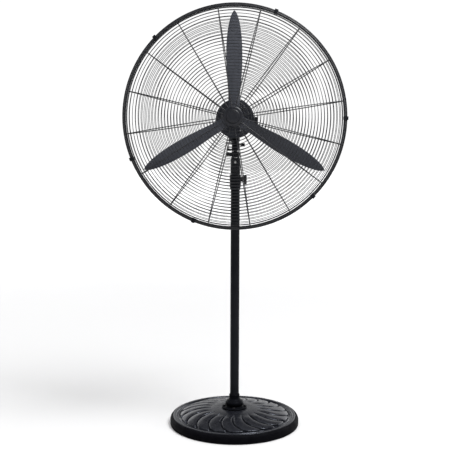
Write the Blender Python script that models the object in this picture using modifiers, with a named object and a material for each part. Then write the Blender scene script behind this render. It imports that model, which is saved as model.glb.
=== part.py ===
"""Pedestal fan: a round domed base, a telescopic pole, a tilting and oscillating motor head,
and three long blades inside a two-part wire guard.

Metres, +Z up. The origin is on the floor at the middle of the base; the head faces -Y.
"""

import math

import bmesh
import bpy
from mathutils import Matrix, Vector

# ---- driving dimensions (metres, degrees) ----
GAP = 0.0003
BASE_R = 0.239
BAND_WALL = 0.0054
BAND_LIP = 0.0135
BAND_TOP_Z = 0.0298
PLATE_FLOOR_Z = 0.0185
DOME_TOP_Z = 0.058
DOME_RIM_Z = 0.030
NUT_SEAT_Z = 0.052
NUT_POCKET_R = 0.030
BOLT_CIRCLE_R = 0.0392
BOLT_HOLE_R = 0.0034
BOLT_ANGLES = (0, 90, 180, 270)
FLANGE_R = 0.0470
FLANGE_Z = (DOME_TOP_Z + GAP, DOME_TOP_Z + 0.0055)
FLANGE_NECK_TOP_Z = 0.1090
POLE_R = 0.0165
POLE_WALL = 0.0018
POLE_FOOT_Z = 0.038
POLE_TOP_Z = 0.898
COLLAR_R = 0.0205
COLLAR_Z = (0.8716, 0.9260)
COLLAR_BUSH_FOOT_Z = 0.8550
HEIGHT_KNOB_X = 0.0360
HEIGHT_KNOB_Z = 0.909
MAST_R = 0.0127
MAST_WALL = 0.0015
MAST_Z = (0.450, 0.9805)
SOCKET_R = 0.0175
SOCKET_TOP_Z = 0.9875
SOCKET_SCREW_Z = 0.9715
EAR_R = 0.0112
EAR_X = (0.0066, 0.0135)
TILT_Z = 0.9990
HINGE_HOLE_R = 0.0034
NECK_R = 0.0135
NECK_Z = (1.0120, 1.0425)
LOCK_Z = 1.0335
SADDLE_TOP_Z = 1.0620
SADDLE_HALF_W = 0.0145
HUB_Z = 1.125
GUARD_R = 0.39
HOOP_R = 0.0035
SPOKE_R = 0.0022
RING_R = 0.0016
REAR_HOOP_R = GUARD_R - HOOP_R
FRONT_HOOP_R = 0.3800
SPOKES = 16
SPOKE_TURN = 13.8
SPOKE_OFFSET = 0.0012
RIM_Y = -0.128
HOOP_STEP_Y = 0.005
REAR_CENTRE_Y = -0.0465
REAR_EYE_R = 0.0580
REAR_POWER = 2.4
FRONT_CENTRE_Y = -0.2125
FRONT_EYE_R = 0.0290
FRONT_POWER = 2.8
RING_SHARES = (0.45, 0.73)
CLIP_ANGLES = (-158.4, -112.0, -45.2, 21.6, 90.2, 134.4)
CLIP_LENGTH = 0.0120
PLATE_R = 0.0685
SCREW_CIRCLE_R = 0.0480
SCREW_ANGLES = (-81, 39, 159)
BLADE_TIP_R = 0.36
BLADE_ROOT_R = 0.0130
BLADE_WAIST_R = 0.195
BLADE_HALF_W = 0.0294
BLADE_SKIN = 0.0022
BLADE_Y = -0.138
ROOT_GAP_Y = 0.0016
MOTOR_R = 0.067
MOTOR_WALL = 0.003
MOTOR_Y = (-0.0435, 0.0850)
JOINT_Y = -0.0150
BEARING_R = 0.0126
STATOR_Y = (-0.0450, 0.0050)
VENTS = 6
VENT_STEP = 360 / VENTS
SHAFT_R = 0.006
SWITCH_X = 0.0340
SWITCH_Z = 1.1400
GLAND_X = 0.0330
GLAND_Z = 1.0980
WORM_PITCH = 0.0025
WORM_R = 0.0065
WHEEL_TEETH = 30
WHEEL_R = WHEEL_TEETH * WORM_PITCH / math.tau
GEAR_X = -(WORM_R + WHEEL_R)
GEAR_Y = 0.102
GEARBOX_X = (-0.0375, 0.0140)
GEARBOX_Z = (1.0880, 1.1480)
CRANK_R = 0.0181
CRANK_Z = (1.0395, 1.0458)
LINK_EYE_X = -0.027
LINK_EYE_Z = 1.0222
LINK_PAD_Z = 1.0355

TOWARDS_FRONT = (math.pi / 2, 0, 0)
TOWARDS_BACK = (-math.pi / 2, 0, 0)
TOWARDS_RIGHT = (0, math.pi / 2, 0)
TOWARDS_LEFT = (0, -math.pi / 2, 0)


# ---- scene ----
def cleared_scene():
    for old in list(bpy.data.objects):
        bpy.data.objects.remove(old, do_unlink=True)


def collection(name):
    made = bpy.data.collections.new(name)
    bpy.context.scene.collection.children.link(made)
    return made


cleared_scene()
FAN = collection("pedestal_fan")
CUTTERS = collection("cutters")


def material(name, colour, roughness, metallic):
    made = bpy.data.materials.new(name)
    made.use_nodes = True
    shader = made.node_tree.nodes["Principled BSDF"]
    shader.inputs["Base Color"].default_value = (*colour, 1)
    shader.inputs["Roughness"].default_value = roughness
    shader.inputs["Metallic"].default_value = metallic
    made.diffuse_color = (*colour, 1)
    return made


BASE_SKIN = material("base_skin", (0.024, 0.025, 0.028), 0.40, 0.0)
BLACK_PAINT = material("black_paint", (0.022, 0.023, 0.026), 0.38, 0.0)
WIRE_PAINT = material("wire_paint", (0.026, 0.027, 0.030), 0.42, 0.0)
BLADE_PAINT = material("blade_paint", (0.040, 0.043, 0.050), 0.45, 0.2)
BLACK_PLASTIC = material("black_plastic", (0.020, 0.020, 0.022), 0.50, 0.0)
RUBBER = material("rubber", (0.015, 0.015, 0.015), 0.80, 0.0)
STEEL = material("bright_steel", (0.62, 0.62, 0.63), 0.28, 1.0)
CORE_STEEL = material("core_steel", (0.30, 0.30, 0.31), 0.45, 1.0)
BRASS = material("brass", (0.70, 0.52, 0.24), 0.35, 1.0)
NYLON = material("nylon", (0.80, 0.79, 0.74), 0.55, 0.0)


# ---- modelling helpers ----
def added(name, mesh, look, place=(0, 0, 0), turn=(0, 0, 0), cutter=False):
    made = bpy.data.objects.new(name, mesh)
    made.location = place
    made.rotation_euler = turn
    if look is not None:
        mesh.materials.append(look)
    if cutter:
        made.hide_render = True
        made.display_type = "WIRE"
        CUTTERS.objects.link(made)
    else:
        FAN.objects.link(made)
    return made


def evaluated_mesh(source):
    bpy.context.view_layer.update()
    graph = bpy.context.evaluated_depsgraph_get()
    return bpy.data.meshes.new_from_object(source.evaluated_get(graph))


def applied(made):
    """Applies the modifiers, then smooths the shading up to its sharp edges."""
    mesh = evaluated_mesh(made)
    made.modifiers.clear()
    made.data = mesh
    mesh.shade_smooth()
    mesh.set_sharp_from_angle(angle=math.radians(35))
    return made


def from_bmesh(name, work, look, place=(0, 0, 0), turn=(0, 0, 0), cutter=False):
    mesh = bpy.data.meshes.new(name)
    bmesh.ops.recalc_face_normals(work, faces=work.faces)
    work.to_mesh(mesh)
    work.free()
    return added(name, mesh, look, place, turn, cutter)


def turned(name, profile, look, place=(0, 0, 0), turn=(0, 0, 0), steps=32, ring=False, cutter=False):
    """A profile of (radius, height), outer side first and running down, turned about its own Z."""
    mesh = bpy.data.meshes.new(name)
    corners = [(radius, 0, height) for radius, height in profile]
    edges = [(i, i + 1) for i in range(len(corners) - 1)]
    if ring:
        edges.append((len(corners) - 1, 0))
    mesh.from_pydata(corners, edges, [])
    made = added(name, mesh, look, place, turn, cutter)
    screw = made.modifiers.new("turn", "SCREW")
    screw.steps = steps
    screw.render_steps = steps
    screw.use_merge_vertices = True
    screw.merge_threshold = 0.00001
    return applied(made)


def rod(name, radius, low, high, look, place=(0, 0, 0), turn=(0, 0, 0), steps=16, cutter=False):
    """A plain round rod along its own Z, from low to high, with a small chamfer at each end."""
    edge = 0 if cutter else min(0.0004, radius / 4)
    profile = [(0, high), (radius - edge, high), (radius, high - edge)]
    profile += [(radius, low + edge), (radius - edge, low), (0, low)]
    if cutter:
        profile = [(0, high), (radius, high), (radius, low), (0, low)]
    return turned(name, profile, look, place, turn, steps, cutter=cutter)


def sleeve(name, outer, inner, low, high, look, place=(0, 0, 0), turn=(0, 0, 0), steps=32):
    """A ring with square edges, which turned() closes on itself."""
    profile = [(outer, high), (outer, low), (inner, low), (inner, high)]
    return turned(name, profile, look, place, turn, steps, ring=True)


def box(name, low, high, look, bevel=0.0, cutter=False):
    work = bmesh.new()
    bmesh.ops.create_cube(work, size=1)
    size = Vector(high) - Vector(low)
    middle = (Vector(high) + Vector(low)) / 2
    bmesh.ops.scale(work, vec=size, verts=work.verts)
    made = from_bmesh(name, work, look, middle, cutter=cutter)
    if bevel:
        rounding = made.modifiers.new("rounding", "BEVEL")
        rounding.width = bevel
        rounding.segments = 2
        applied(made)
    return made


def prism(name, outline, thickness, look, place=(0, 0, 0), turn=(0, 0, 0), cutter=False):
    """A flat outline in its own XY plane, thickened evenly to both sides."""
    curve = bpy.data.curves.new(name, "CURVE")
    curve.dimensions = "2D"
    curve.fill_mode = "BOTH"
    curve.extrude = thickness / 2
    spline = curve.splines.new("POLY")
    spline.points.add(len(outline) - 1)
    for point, (x, y) in zip(spline.points, outline):
        point.co = (x, y, 0, 1)
    spline.use_cyclic_u = True
    source = bpy.data.objects.new(name + "_outline", curve)
    FAN.objects.link(source)
    mesh = evaluated_mesh(source)
    bpy.data.objects.remove(source, do_unlink=True)
    work = bmesh.new()
    work.from_mesh(mesh)
    bmesh.ops.remove_doubles(work, verts=work.verts, dist=0.00001)
    made = from_bmesh(name, work, look, place, turn, cutter)
    made.data.set_sharp_from_angle(angle=math.radians(35))
    return made


def wire(name, points, radius, look, closed=False, sides=4, cutter=False):
    """A round wire through the points, as a mesh with welded caps."""
    curve = bpy.data.curves.new(name, "CURVE")
    curve.dimensions = "3D"
    curve.bevel_depth = radius
    curve.bevel_resolution = (sides - 4) // 2
    curve.use_fill_caps = True
    spline = curve.splines.new("POLY")
    spline.points.add(len(points) - 1)
    for point, place in zip(spline.points, points):
        point.co = (*place, 1)
    spline.use_cyclic_u = closed
    source = bpy.data.objects.new(name + "_line", curve)
    FAN.objects.link(source)
    mesh = evaluated_mesh(source)
    bpy.data.objects.remove(source, do_unlink=True)
    work = bmesh.new()
    work.from_mesh(mesh)
    bmesh.ops.remove_doubles(work, verts=work.verts, dist=0.00001)
    return from_bmesh(name, work, look, cutter=cutter)


def cut(made, *cutters):
    for cutter in cutters:
        step = made.modifiers.new("cut", "BOOLEAN")
        step.operation = "DIFFERENCE"
        step.object = cutter
    return applied(made)


def joined(made, *extras):
    """Unites the extras with the piece; they stay behind as hidden guides."""
    for extra in extras:
        step = made.modifiers.new("join", "BOOLEAN")
        step.operation = "UNION"
        step.object = extra
    return applied(made)


def moved_origin(made, pivot):
    """Puts a piece's origin on its joint's axis without moving the piece."""
    bpy.context.view_layer.update()
    place = made.matrix_world.copy()
    target = Matrix.Translation(Vector(pivot))
    made.data.transform(target.inverted() @ place)
    made.matrix_world = target
    return made


def on_circle(radius, degrees):
    """(x, z) at this angle, clockwise from straight up as seen from the front."""
    angle = math.radians(degrees)
    return radius * math.sin(angle), radius * math.cos(angle)


def lobed(lobes, radius, depth, points_per_lobe=6):
    """A knob's outline, whose radius swings between its lobes and its finger hollows."""
    count = lobes * points_per_lobe
    outline = []
    for i in range(count):
        angle = math.tau * i / count
        r = radius - depth * (1 - math.cos(lobes * angle)) / 2
        outline.append((r * math.cos(angle), r * math.sin(angle)))
    return outline


def polygon(sides, radius, turn=0.0):
    angles = [turn + math.tau * i / sides for i in range(sides)]
    return [(radius * math.cos(a), radius * math.sin(a)) for a in angles]


# ---- base and pole ----
def bolt_places():
    return [
        (BOLT_CIRCLE_R * math.cos(math.radians(a)), BOLT_CIRCLE_R * math.sin(math.radians(a)))
        for a in BOLT_ANGLES
    ]


def bolt_holes(low, high):
    return [
        rod(f"bolt_hole_{low:.3f}_{i}", BOLT_HOLE_R, low, high, None, (x, y, 0), (0, 0, 0.2), 8, cutter=True)
        for i, (x, y) in enumerate(bolt_places())
    ]


def base_plate():
    """The weighted base: cement bonded in its moulded skin, with a pocket below for the tube's nut."""
    rim_r = BASE_R - BAND_WALL - GAP
    outer = [
        (POLE_R + 0.0005, DOME_TOP_Z),
        (0.0600, DOME_TOP_Z),
        (0.0857, DOME_TOP_Z - 0.0015),
        (0.1253, DOME_TOP_Z - 0.0085),
        (0.1671, DOME_TOP_Z - 0.0185),
        (0.2067, DOME_RIM_Z),
        (0.2150, DOME_RIM_Z + 0.0025),
        (0.2275, DOME_RIM_Z + 0.0022),
        (rim_r - 0.0010, DOME_RIM_Z + 0.0010),
        (rim_r, BAND_TOP_Z),
        (rim_r, PLATE_FLOOR_Z),
    ]
    inner = [
        (NUT_POCKET_R, PLATE_FLOOR_Z),
        (NUT_POCKET_R, NUT_SEAT_Z),
        (POLE_R + 0.0005, NUT_SEAT_Z),
    ]
    plate = turned("base_plate", outer + inner, BASE_SKIN, steps=40, ring=True)
    return cut(plate, *bolt_holes(DOME_TOP_Z - 0.012, DOME_TOP_Z + 0.006))


def edge_band():
    """The moulded band round the base: it carries the weight's edge on a lip and rests on the floor."""
    wall_r = BASE_R - BAND_WALL
    lip_r = BASE_R - BAND_LIP
    profile = [
        (wall_r, BAND_TOP_Z),
        (BASE_R - 0.0015, BAND_TOP_Z),
        (BASE_R, BAND_TOP_Z - 0.0022),
        (BASE_R, 0.0012),
        (BASE_R - 0.0012, 0),
        (lip_r, 0),
        (lip_r, PLATE_FLOOR_Z - GAP),
        (wall_r, PLATE_FLOOR_Z - GAP),
    ]
    return turned("edge_band", profile, RUBBER, steps=40, ring=True)


def pole_flange():
    low, top = FLANGE_Z
    profile = [
        (POLE_R + GAP, FLANGE_NECK_TOP_Z),
        (0.0190, FLANGE_NECK_TOP_Z),
        (0.0195, FLANGE_NECK_TOP_Z - 0.0010),
        (0.0195, low + 0.0347),
        (0.0235, low + 0.0307),
        (0.0300, low + 0.0267),
        (0.0335, low + 0.0202),
        (0.0325, low + 0.0127),
        (0.0300, top + 0.0015),
        (0.0310, top),
        (FLANGE_R - 0.0008, top),
        (FLANGE_R, top - 0.0008),
        (FLANGE_R, low),
        (POLE_R + GAP, low),
    ]
    flange = turned("pole_flange", profile, BLACK_PAINT, ring=True, steps=20)
    return cut(flange, *bolt_holes(low - 0.003, top + 0.003))


def flange_bolts():
    head_low = FLANGE_Z[1] + GAP
    for number, (x, y) in enumerate(bolt_places(), 1):
        bolt = rod(f"flange_bolt_{number}", 0.0030, 0.0465, head_low + 0.002, STEEL, (x, y, 0), steps=8)
        head = prism(f"bolt_head_{number}", polygon(6, 0.0046), 0.0042, STEEL,
                     (x, y, head_low + 0.0021), cutter=True)
        joined(bolt, head)


def lower_tube():
    return sleeve("lower_tube", POLE_R, POLE_R - POLE_WALL, POLE_FOOT_Z, POLE_TOP_Z, BLACK_PAINT,
                  steps=28)


def tube_nut():
    top = NUT_SEAT_Z - GAP
    nut = prism("tube_nut", polygon(6, 0.0265), 0.010, STEEL, (0, 0, top - 0.005))
    return cut(nut, rod("tube_nut_bore", POLE_R + GAP, 0.02, 0.07, None, steps=28, cutter=True))


def height_collar():
    low, top = COLLAR_Z
    profile = [
        (MAST_R + 0.0004, top),
        (COLLAR_R - 0.001, top),
        (COLLAR_R, top - 0.001),
        (COLLAR_R, low + 0.0130),
        (POLE_R + 0.0018, low + 0.0010),
        (POLE_R + 0.0012, low),
        (POLE_R + GAP, low),
        (POLE_R + GAP, POLE_TOP_Z + GAP),
        (MAST_R + 0.0004, POLE_TOP_Z + GAP),
    ]
    collar = turned("height_collar", profile, BLACK_PAINT, ring=True, steps=28)
    place = (0, 0, HEIGHT_KNOB_Z)
    boss = rod("collar_boss", 0.0080, 0.0165, 0.0290, None, place, TOWARDS_RIGHT, 16, cutter=True)
    bore = rod("collar_thread", 0.0044, 0.0100, 0.0320, None, place, TOWARDS_RIGHT, 16, cutter=True)
    return cut(joined(collar, boss), bore)


def collar_bush():
    return sleeve("collar_bush", POLE_R - POLE_WALL - GAP, MAST_R + GAP, COLLAR_BUSH_FOOT_Z,
                  POLE_TOP_Z - 0.001, NYLON, steps=24)


# ---- height clamp ----
def height_knob():
    place = (HEIGHT_KNOB_X, 0, HEIGHT_KNOB_Z)
    knob = prism("height_knob", lobed(5, 0.0180, 0.0045), 0.0105, BLACK_PLASTIC, place, TOWARDS_RIGHT)
    hub = rod("knob_hub", 0.0075, -0.0065, 0, None, place, TOWARDS_RIGHT, 16, cutter=True)
    bore = rod("knob_bore", 0.0043, -0.0080, 0.0010, None, place, TOWARDS_RIGHT, 12, cutter=True)
    return cut(joined(knob, hub), bore)


def clamp_screw():
    return rod("clamp_screw", 0.0040, MAST_R + GAP, HEIGHT_KNOB_X + 0.0007, STEEL,
               (0, 0, HEIGHT_KNOB_Z), TOWARDS_RIGHT, 12)


# ---- mast and tilt hinge ----
def inner_tube():
    return sleeve("inner_tube", MAST_R, MAST_R - MAST_WALL, MAST_Z[0], MAST_Z[1], BLACK_PAINT, steps=24)


def mast_guide():
    """The nylon plug in the mast's lower end, whose rim slides in the lower tube."""
    low = MAST_Z[0]
    profile = [
        (0, low + 0.030),
        (MAST_R - MAST_WALL - GAP, low + 0.030),
        (MAST_R - MAST_WALL - GAP, low - GAP),
        (POLE_R - POLE_WALL - 0.0004, low - GAP),
        (POLE_R - POLE_WALL - 0.0004, low - 0.012),
        (0, low - 0.012),
    ]
    return turned("mast_guide", profile, NYLON, steps=24)


def neck_socket():
    low = COLLAR_Z[1] + 0.0004
    profile = [
        (0, SOCKET_TOP_Z),
        (SOCKET_R - 0.0030, SOCKET_TOP_Z),
        (SOCKET_R, SOCKET_TOP_Z - 0.0040),
        (SOCKET_R, low + 0.0010),
        (SOCKET_R - 0.0010, low),
        (MAST_R + GAP, low),
        (MAST_R + GAP, MAST_Z[1] + GAP),
        (0, MAST_Z[1] + GAP),
    ]
    socket = turned("neck_socket", profile, BLACK_PAINT, steps=28)
    extras = []
    for side, turn in ((1, TOWARDS_RIGHT), (-1, TOWARDS_LEFT)):
        hinge = (0, 0, TILT_Z)
        near, far = EAR_X
        extras.append(rod(f"ear_{side}", EAR_R, near, far, None, hinge, turn, 20, cutter=True))
        low_x, high_x = sorted((side * near, side * far))
        extras.append(box(f"ear_web_{side}", (low_x, -0.0105, SOCKET_TOP_Z - 0.004),
                          (high_x, 0.0105, TILT_Z), None, cutter=True))
    extras.append(rod("left_boss", 0.0072, 0.010, 0.0225, None, (0, 0, TILT_Z), TOWARDS_LEFT, 16,
                      cutter=True))
    socket = joined(socket, *extras)
    hinge_hole = rod("hinge_hole", HINGE_HOLE_R, -0.03, 0.03, None, (0, 0, TILT_Z), TOWARDS_RIGHT, 12,
                     cutter=True)
    screw_hole = rod("socket_screw_hole", 0.0033, MAST_R + 0.0015, 0.03, None,
                     (0, 0, SOCKET_SCREW_Z), TOWARDS_FRONT, 12, cutter=True)
    return cut(socket, hinge_hole, screw_hole)


def socket_screw():
    profile = [(0, 0.0212), (0.0028, 0.0209), (0.0046, 0.0190), (0.0046, SOCKET_R + GAP)]
    profile += [(0.0030, SOCKET_R + GAP), (0.0030, MAST_R + 0.0019), (0, MAST_R + 0.0019)]
    return turned("socket_screw", profile, STEEL, (0, 0, SOCKET_SCREW_Z), TOWARDS_FRONT, 16)


def tilt_bolt():
    bolt = rod("tilt_bolt", 0.0030, -0.0310, 0.0150, STEEL, (0, 0, TILT_Z), TOWARDS_RIGHT, 12)
    head = prism("tilt_bolt_head", polygon(6, 0.0058), 0.0045, None,
                 (EAR_X[1] + GAP + 0.00225, 0, TILT_Z), TOWARDS_RIGHT, cutter=True)
    return joined(bolt, head)


def tilt_knob():
    knob = prism("tilt_knob", lobed(10, 0.0066, 0.0008, 4), 0.0096, BLACK_PLASTIC,
                 (-0.0277, 0, TILT_Z), TOWARDS_RIGHT)
    bore = rod("tilt_knob_bore", 0.0033, -0.0320, -0.0200, None, (0, 0, TILT_Z), TOWARDS_RIGHT, 12,
               cutter=True)
    return cut(knob, bore)


# ---- neck: tilts on the mast, carries the swivel ----
def neck_stem():
    low, top = NECK_Z
    profile = [
        (0, top),
        (NECK_R - 0.001, top),
        (NECK_R, top - 0.001),
        (NECK_R, low + 0.002),
        (NECK_R - 0.002, low),
        (0, low),
    ]
    stem = turned("neck_stem", profile, BLACK_PAINT, steps=28)
    tongue = rod("tongue_round", 0.0102, -0.0061, 0.0061, None, (0, 0, TILT_Z), TOWARDS_RIGHT, 20,
                 cutter=True)
    web = box("tongue_web", (-0.0060, -0.0100, TILT_Z), (0.0060, 0.0100, low + 0.004), None, cutter=True)
    lug = box("link_lug", (LINK_EYE_X - 0.0005, -0.0050, 1.0140), (-0.0100, 0.0050, 1.0195), None,
              cutter=True)
    lug_end = rod("link_lug_end", 0.0052, 1.0138, 1.0197, None, (LINK_EYE_X, 0, 0), steps=16, cutter=True)
    pin = rod("link_pin", 0.0022, 1.0150, 1.0262, None, (LINK_EYE_X, 0, 0), steps=10, cutter=True)
    stem = joined(stem, tongue, web, lug, lug_end, pin)
    swivel = rod("swivel_bore", 0.0082, 1.0160, 1.0500, None, steps=20, cutter=True)
    hinge = rod("tongue_hole", HINGE_HOLE_R, -0.02, 0.02, None, (0, 0, TILT_Z), TOWARDS_RIGHT, 12,
                cutter=True)
    lock = rod("lock_hole", 0.0034, 0.0088, 0.02, None, (0, 0, LOCK_Z), TOWARDS_RIGHT, 10, cutter=True)
    return cut(stem, swivel, hinge, lock)


def swivel_bush():
    return sleeve("swivel_bush", 0.0079, 0.0067, 1.0164, NECK_Z[1], BRASS, steps=20)


def swivel_lock():
    """The small wing screw that holds the head at one bearing."""
    screw = rod("swivel_lock", 0.0030, 0.0092, 0.0240, BLACK_PAINT, (0, 0, LOCK_Z), TOWARDS_RIGHT, 10)
    wing = box("lock_wing", (0.0205, -0.0018, LOCK_Z - 0.006), (0.0340, 0.0018, LOCK_Z + 0.006), None,
               bevel=0.001, cutter=True)
    return joined(screw, wing)


# ---- motor ----
def motor_cradle():
    boss = rod("motor_cradle", NECK_R, NECK_Z[1] + 0.0005, 1.0530, BLACK_PAINT, steps=28)
    saddle = box("saddle", (-SADDLE_HALF_W, -0.0320, SADDLE_TOP_Z - 0.016),
                 (SADDLE_HALF_W, 0.0620, SADDLE_TOP_Z), None, bevel=0.002, cutter=True)
    round_cut = rod("motor_space", MOTOR_R + 0.0006, -0.09, 0.09, None, (0, 0, HUB_Z), TOWARDS_FRONT, 48,
                    cutter=True)
    pin_hole = rod("pin_hole", 0.0067, 1.0400, 1.0515, None, steps=20, cutter=True)
    return cut(joined(boss, saddle), round_cut, pin_hole)


def swivel_pin():
    return rod("swivel_pin", 0.0064, 1.0170, 1.0510, STEEL, steps=20)


def y_part(name, profile, look, steps=32, ring=False, centre=(0, 0, HUB_Z), cutter=False):
    """A turned piece about the motor's axis; its profile's heights count towards the front."""
    return turned(name, profile, look, centre, TOWARDS_FRONT, steps, ring, cutter)


def motor_front_cover():
    face = -MOTOR_Y[0]
    inside = face - MOTOR_WALL
    profile = [
        (0.0065, face + 0.0010),
        (0.0160, face + 0.0010),
        (0.0180, face),
        (MOTOR_R - 0.004, face),
        (MOTOR_R, face - 0.004),
        (MOTOR_R, JOINT_Y),
        (MOTOR_R - MOTOR_WALL, JOINT_Y),
        (MOTOR_R - MOTOR_WALL, inside - 0.001),
        (0.0170, inside - 0.001),
        (0.0170, face - 0.014),
        (BEARING_R + GAP, face - 0.014),
        (BEARING_R + GAP, inside),
        (0.0065, inside),
    ]
    return y_part("motor_front_cover", profile, BLACK_PAINT, 24, ring=True)


def motor_rear_cover():
    back = -MOTOR_Y[1]
    profile = [
        (MOTOR_R - MOTOR_WALL, JOINT_Y - GAP),
        (MOTOR_R, JOINT_Y - GAP),
        (MOTOR_R, back + 0.0180),
        (MOTOR_R - 0.006, back + 0.0060),
        (MOTOR_R - 0.020, back),
        (0.0075, back),
        (0.0075, back + 0.0035),
        (BEARING_R + GAP, back + 0.0035),
        (BEARING_R + GAP, back + 0.0140),
        (0.0165, back + 0.0140),
        (0.0165, back + MOTOR_WALL),
        (MOTOR_R - 0.021, back + MOTOR_WALL),
        (MOTOR_R - 0.008, back + 0.0080),
        (MOTOR_R - MOTOR_WALL, back + 0.0190),
    ]
    cover = y_part("motor_rear_cover", profile, BLACK_PAINT, 24, ring=True)
    slots = []
    for number in range(VENTS):
        x, z = on_circle(MOTOR_R - 0.006, VENT_STEP * (number + 0.5))
        slot = box(f"vent_{number}", (-0.0022, 0.030, -0.012), (0.0022, 0.060, 0.012), None, cutter=True)
        slot.location = (x, 0.045, HUB_Z + z)
        slot.rotation_euler = (0, math.radians(VENT_STEP * (number + 0.5)), 0)
        slots.append(slot)
    hole = rod("switch_hole", 0.0034, 0.055, 0.10, None, (SWITCH_X, 0, SWITCH_Z), TOWARDS_BACK, 10,
               cutter=True)
    return cut(cover, *slots, hole)


def stator():
    back, front = STATOR_Y
    profile = [(0.0632, front), (0.0632, back), (0.0365, back), (0.0365, front)]
    return y_part("stator", profile, CORE_STEEL, 24, ring=True)


def bearing(name, front, back):
    profile = [(BEARING_R, front), (BEARING_R, back), (SHAFT_R + GAP, back), (SHAFT_R + GAP, front)]
    return y_part(name, profile, STEEL, 20, ring=True)


def gearbox_housing():
    """An open-bottomed casting behind the motor, round the worm, its wheel and the clutch shaft."""
    back = MOTOR_Y[1] + 0.0008
    wall = 0.003
    low_x, high_x = GEARBOX_X
    low_z, high_z = GEARBOX_Z
    body = box("gearbox_housing", (low_x, back, low_z), (high_x, back + 0.0360, high_z), BLACK_PAINT,
               bevel=0.003)
    column = rod("gear_column", 0.0115, CRANK_Z[1] + 0.0022, low_z + 0.0020, None, (GEAR_X, GEAR_Y, 0),
                 steps=20, cutter=True)
    hollow = box("gear_hollow", (low_x + wall, back - 0.002, low_z + 0.0045),
                 (high_x - wall, back + 0.0330, high_z - 0.0035), None, cutter=True)
    shaft_hole = rod("gear_shaft_hole", 0.0036, 1.02, 1.17, None, (GEAR_X, GEAR_Y, 0), steps=12,
                     cutter=True)
    return cut(joined(body, column), hollow, shaft_hole)


def capacitor_box():
    made = box("capacitor_box", (MOTOR_R - 0.004, -0.002, 1.1050), (0.0810, 0.058, 1.1340), BLACK_PAINT,
               bevel=0.003)
    clear = rod("capacitor_seat", MOTOR_R + 0.0006, -0.09, 0.09, None, (0, 0, HUB_Z), TOWARDS_FRONT, 48,
                cutter=True)
    return cut(made, clear)


def cable_gland():
    back = MOTOR_Y[1] + 0.0006
    profile = [
        (0.0040, 0.0200),
        (0.0062, 0.0200),
        (0.0068, 0.0080),
        (0.0095, 0.0078),
        (0.0095, 0),
        (0.0040, 0),
    ]
    return turned("cable_gland", profile, BLACK_PLASTIC, (GLAND_X, back, GLAND_Z), TOWARDS_BACK, 16,
                  ring=True)


def speed_switch():
    return rod("speed_switch", 0.0100, 0.0610, 0.0805, BLACK_PLASTIC, (SWITCH_X, 0, SWITCH_Z),
               TOWARDS_BACK, 16)


def speed_knob():
    back = MOTOR_Y[1] + 0.0005
    knob = prism("speed_knob", lobed(8, 0.0120, 0.0010, 4), 0.0100, BLACK_PLASTIC,
                 (SWITCH_X, back + 0.0055, SWITCH_Z), TOWARDS_FRONT)
    stem = rod("speed_stem", 0.0030, 0.0811, 0.0900, None, (SWITCH_X, 0, SWITCH_Z), TOWARDS_BACK, 10,
               cutter=True)
    pointer = box("speed_pointer", (SWITCH_X - 0.0012, back + 0.0090, SWITCH_Z + 0.0005),
                  (SWITCH_X + 0.0012, back + 0.0125, SWITCH_Z + 0.0115), None, cutter=True)
    return joined(knob, stem, pointer)


# ---- oscillation drive ----
def oscillation_knob():
    top = GEARBOX_Z[1] + 0.0280
    profile = [
        (0, top),
        (0.0050, top),
        (0.0070, top - 0.0020),
        (0.0078, top - 0.0080),
        (0.0060, top - 0.0140),
        (0.0050, top - 0.0175),
        (0.0030, top - 0.0185),
        (0.0030, top - 0.0455),
        (0, top - 0.0455),
    ]
    return turned("oscillation_knob", profile, BLACK_PLASTIC, (GEAR_X, GEAR_Y, 0), steps=16)


def worm_wheel():
    """A wheel whose teeth reach between the worm's threads with a little backlash."""
    root, tip = WHEEL_R - 0.0011, WHEEL_R + 0.0007
    step = math.tau / WHEEL_TEETH
    outline = []
    for tooth in range(WHEEL_TEETH):
        middle = tooth * step
        for offset, radius in ((-0.28, root), (-0.12, tip), (0.12, tip), (0.28, root)):
            angle = middle + offset * step
            outline.append((radius * math.cos(angle), radius * math.sin(angle)))
    return prism("worm_wheel", outline, 0.0030, BRASS, (GEAR_X, GEAR_Y, HUB_Z))


def drive_worm():
    """A thread of the wheel's pitch on the shaft's rear end, made by one turn repeated along Y."""
    root, tip, steps, turns = WORM_R - 0.0011, WORM_R + 0.0007, 12, 4
    work = bmesh.new()
    rings = []
    for k in range(steps * turns + 1):
        angle = math.tau * k / steps
        along = WORM_PITCH * k / steps
        ring = []
        for offset, radius in ((-0.17, root - 0.0008), (-0.07, tip), (0.07, tip), (0.17, root - 0.0008)):
            y = along + offset * WORM_PITCH
            ring.append(work.verts.new((radius * math.cos(angle), radius * math.sin(angle), y)))
        rings.append(ring)
    for first, second in zip(rings, rings[1:]):
        for i in range(4):
            j = (i + 1) % 4
            work.faces.new((first[i], second[i], second[j], first[j]))
    work.faces.new(rings[0][::-1])
    work.faces.new(rings[-1])
    length = WORM_PITCH * turns
    place = (0, GEAR_Y + length / 2, HUB_Z)
    thread = from_bmesh("worm_thread", work, None, place, TOWARDS_FRONT, cutter=True)
    half = length / 2 + 0.001
    core = rod("drive_worm", root, -half, half, CORE_STEEL, (0, GEAR_Y, HUB_Z), TOWARDS_FRONT, 12)
    return joined(core, thread)


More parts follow.
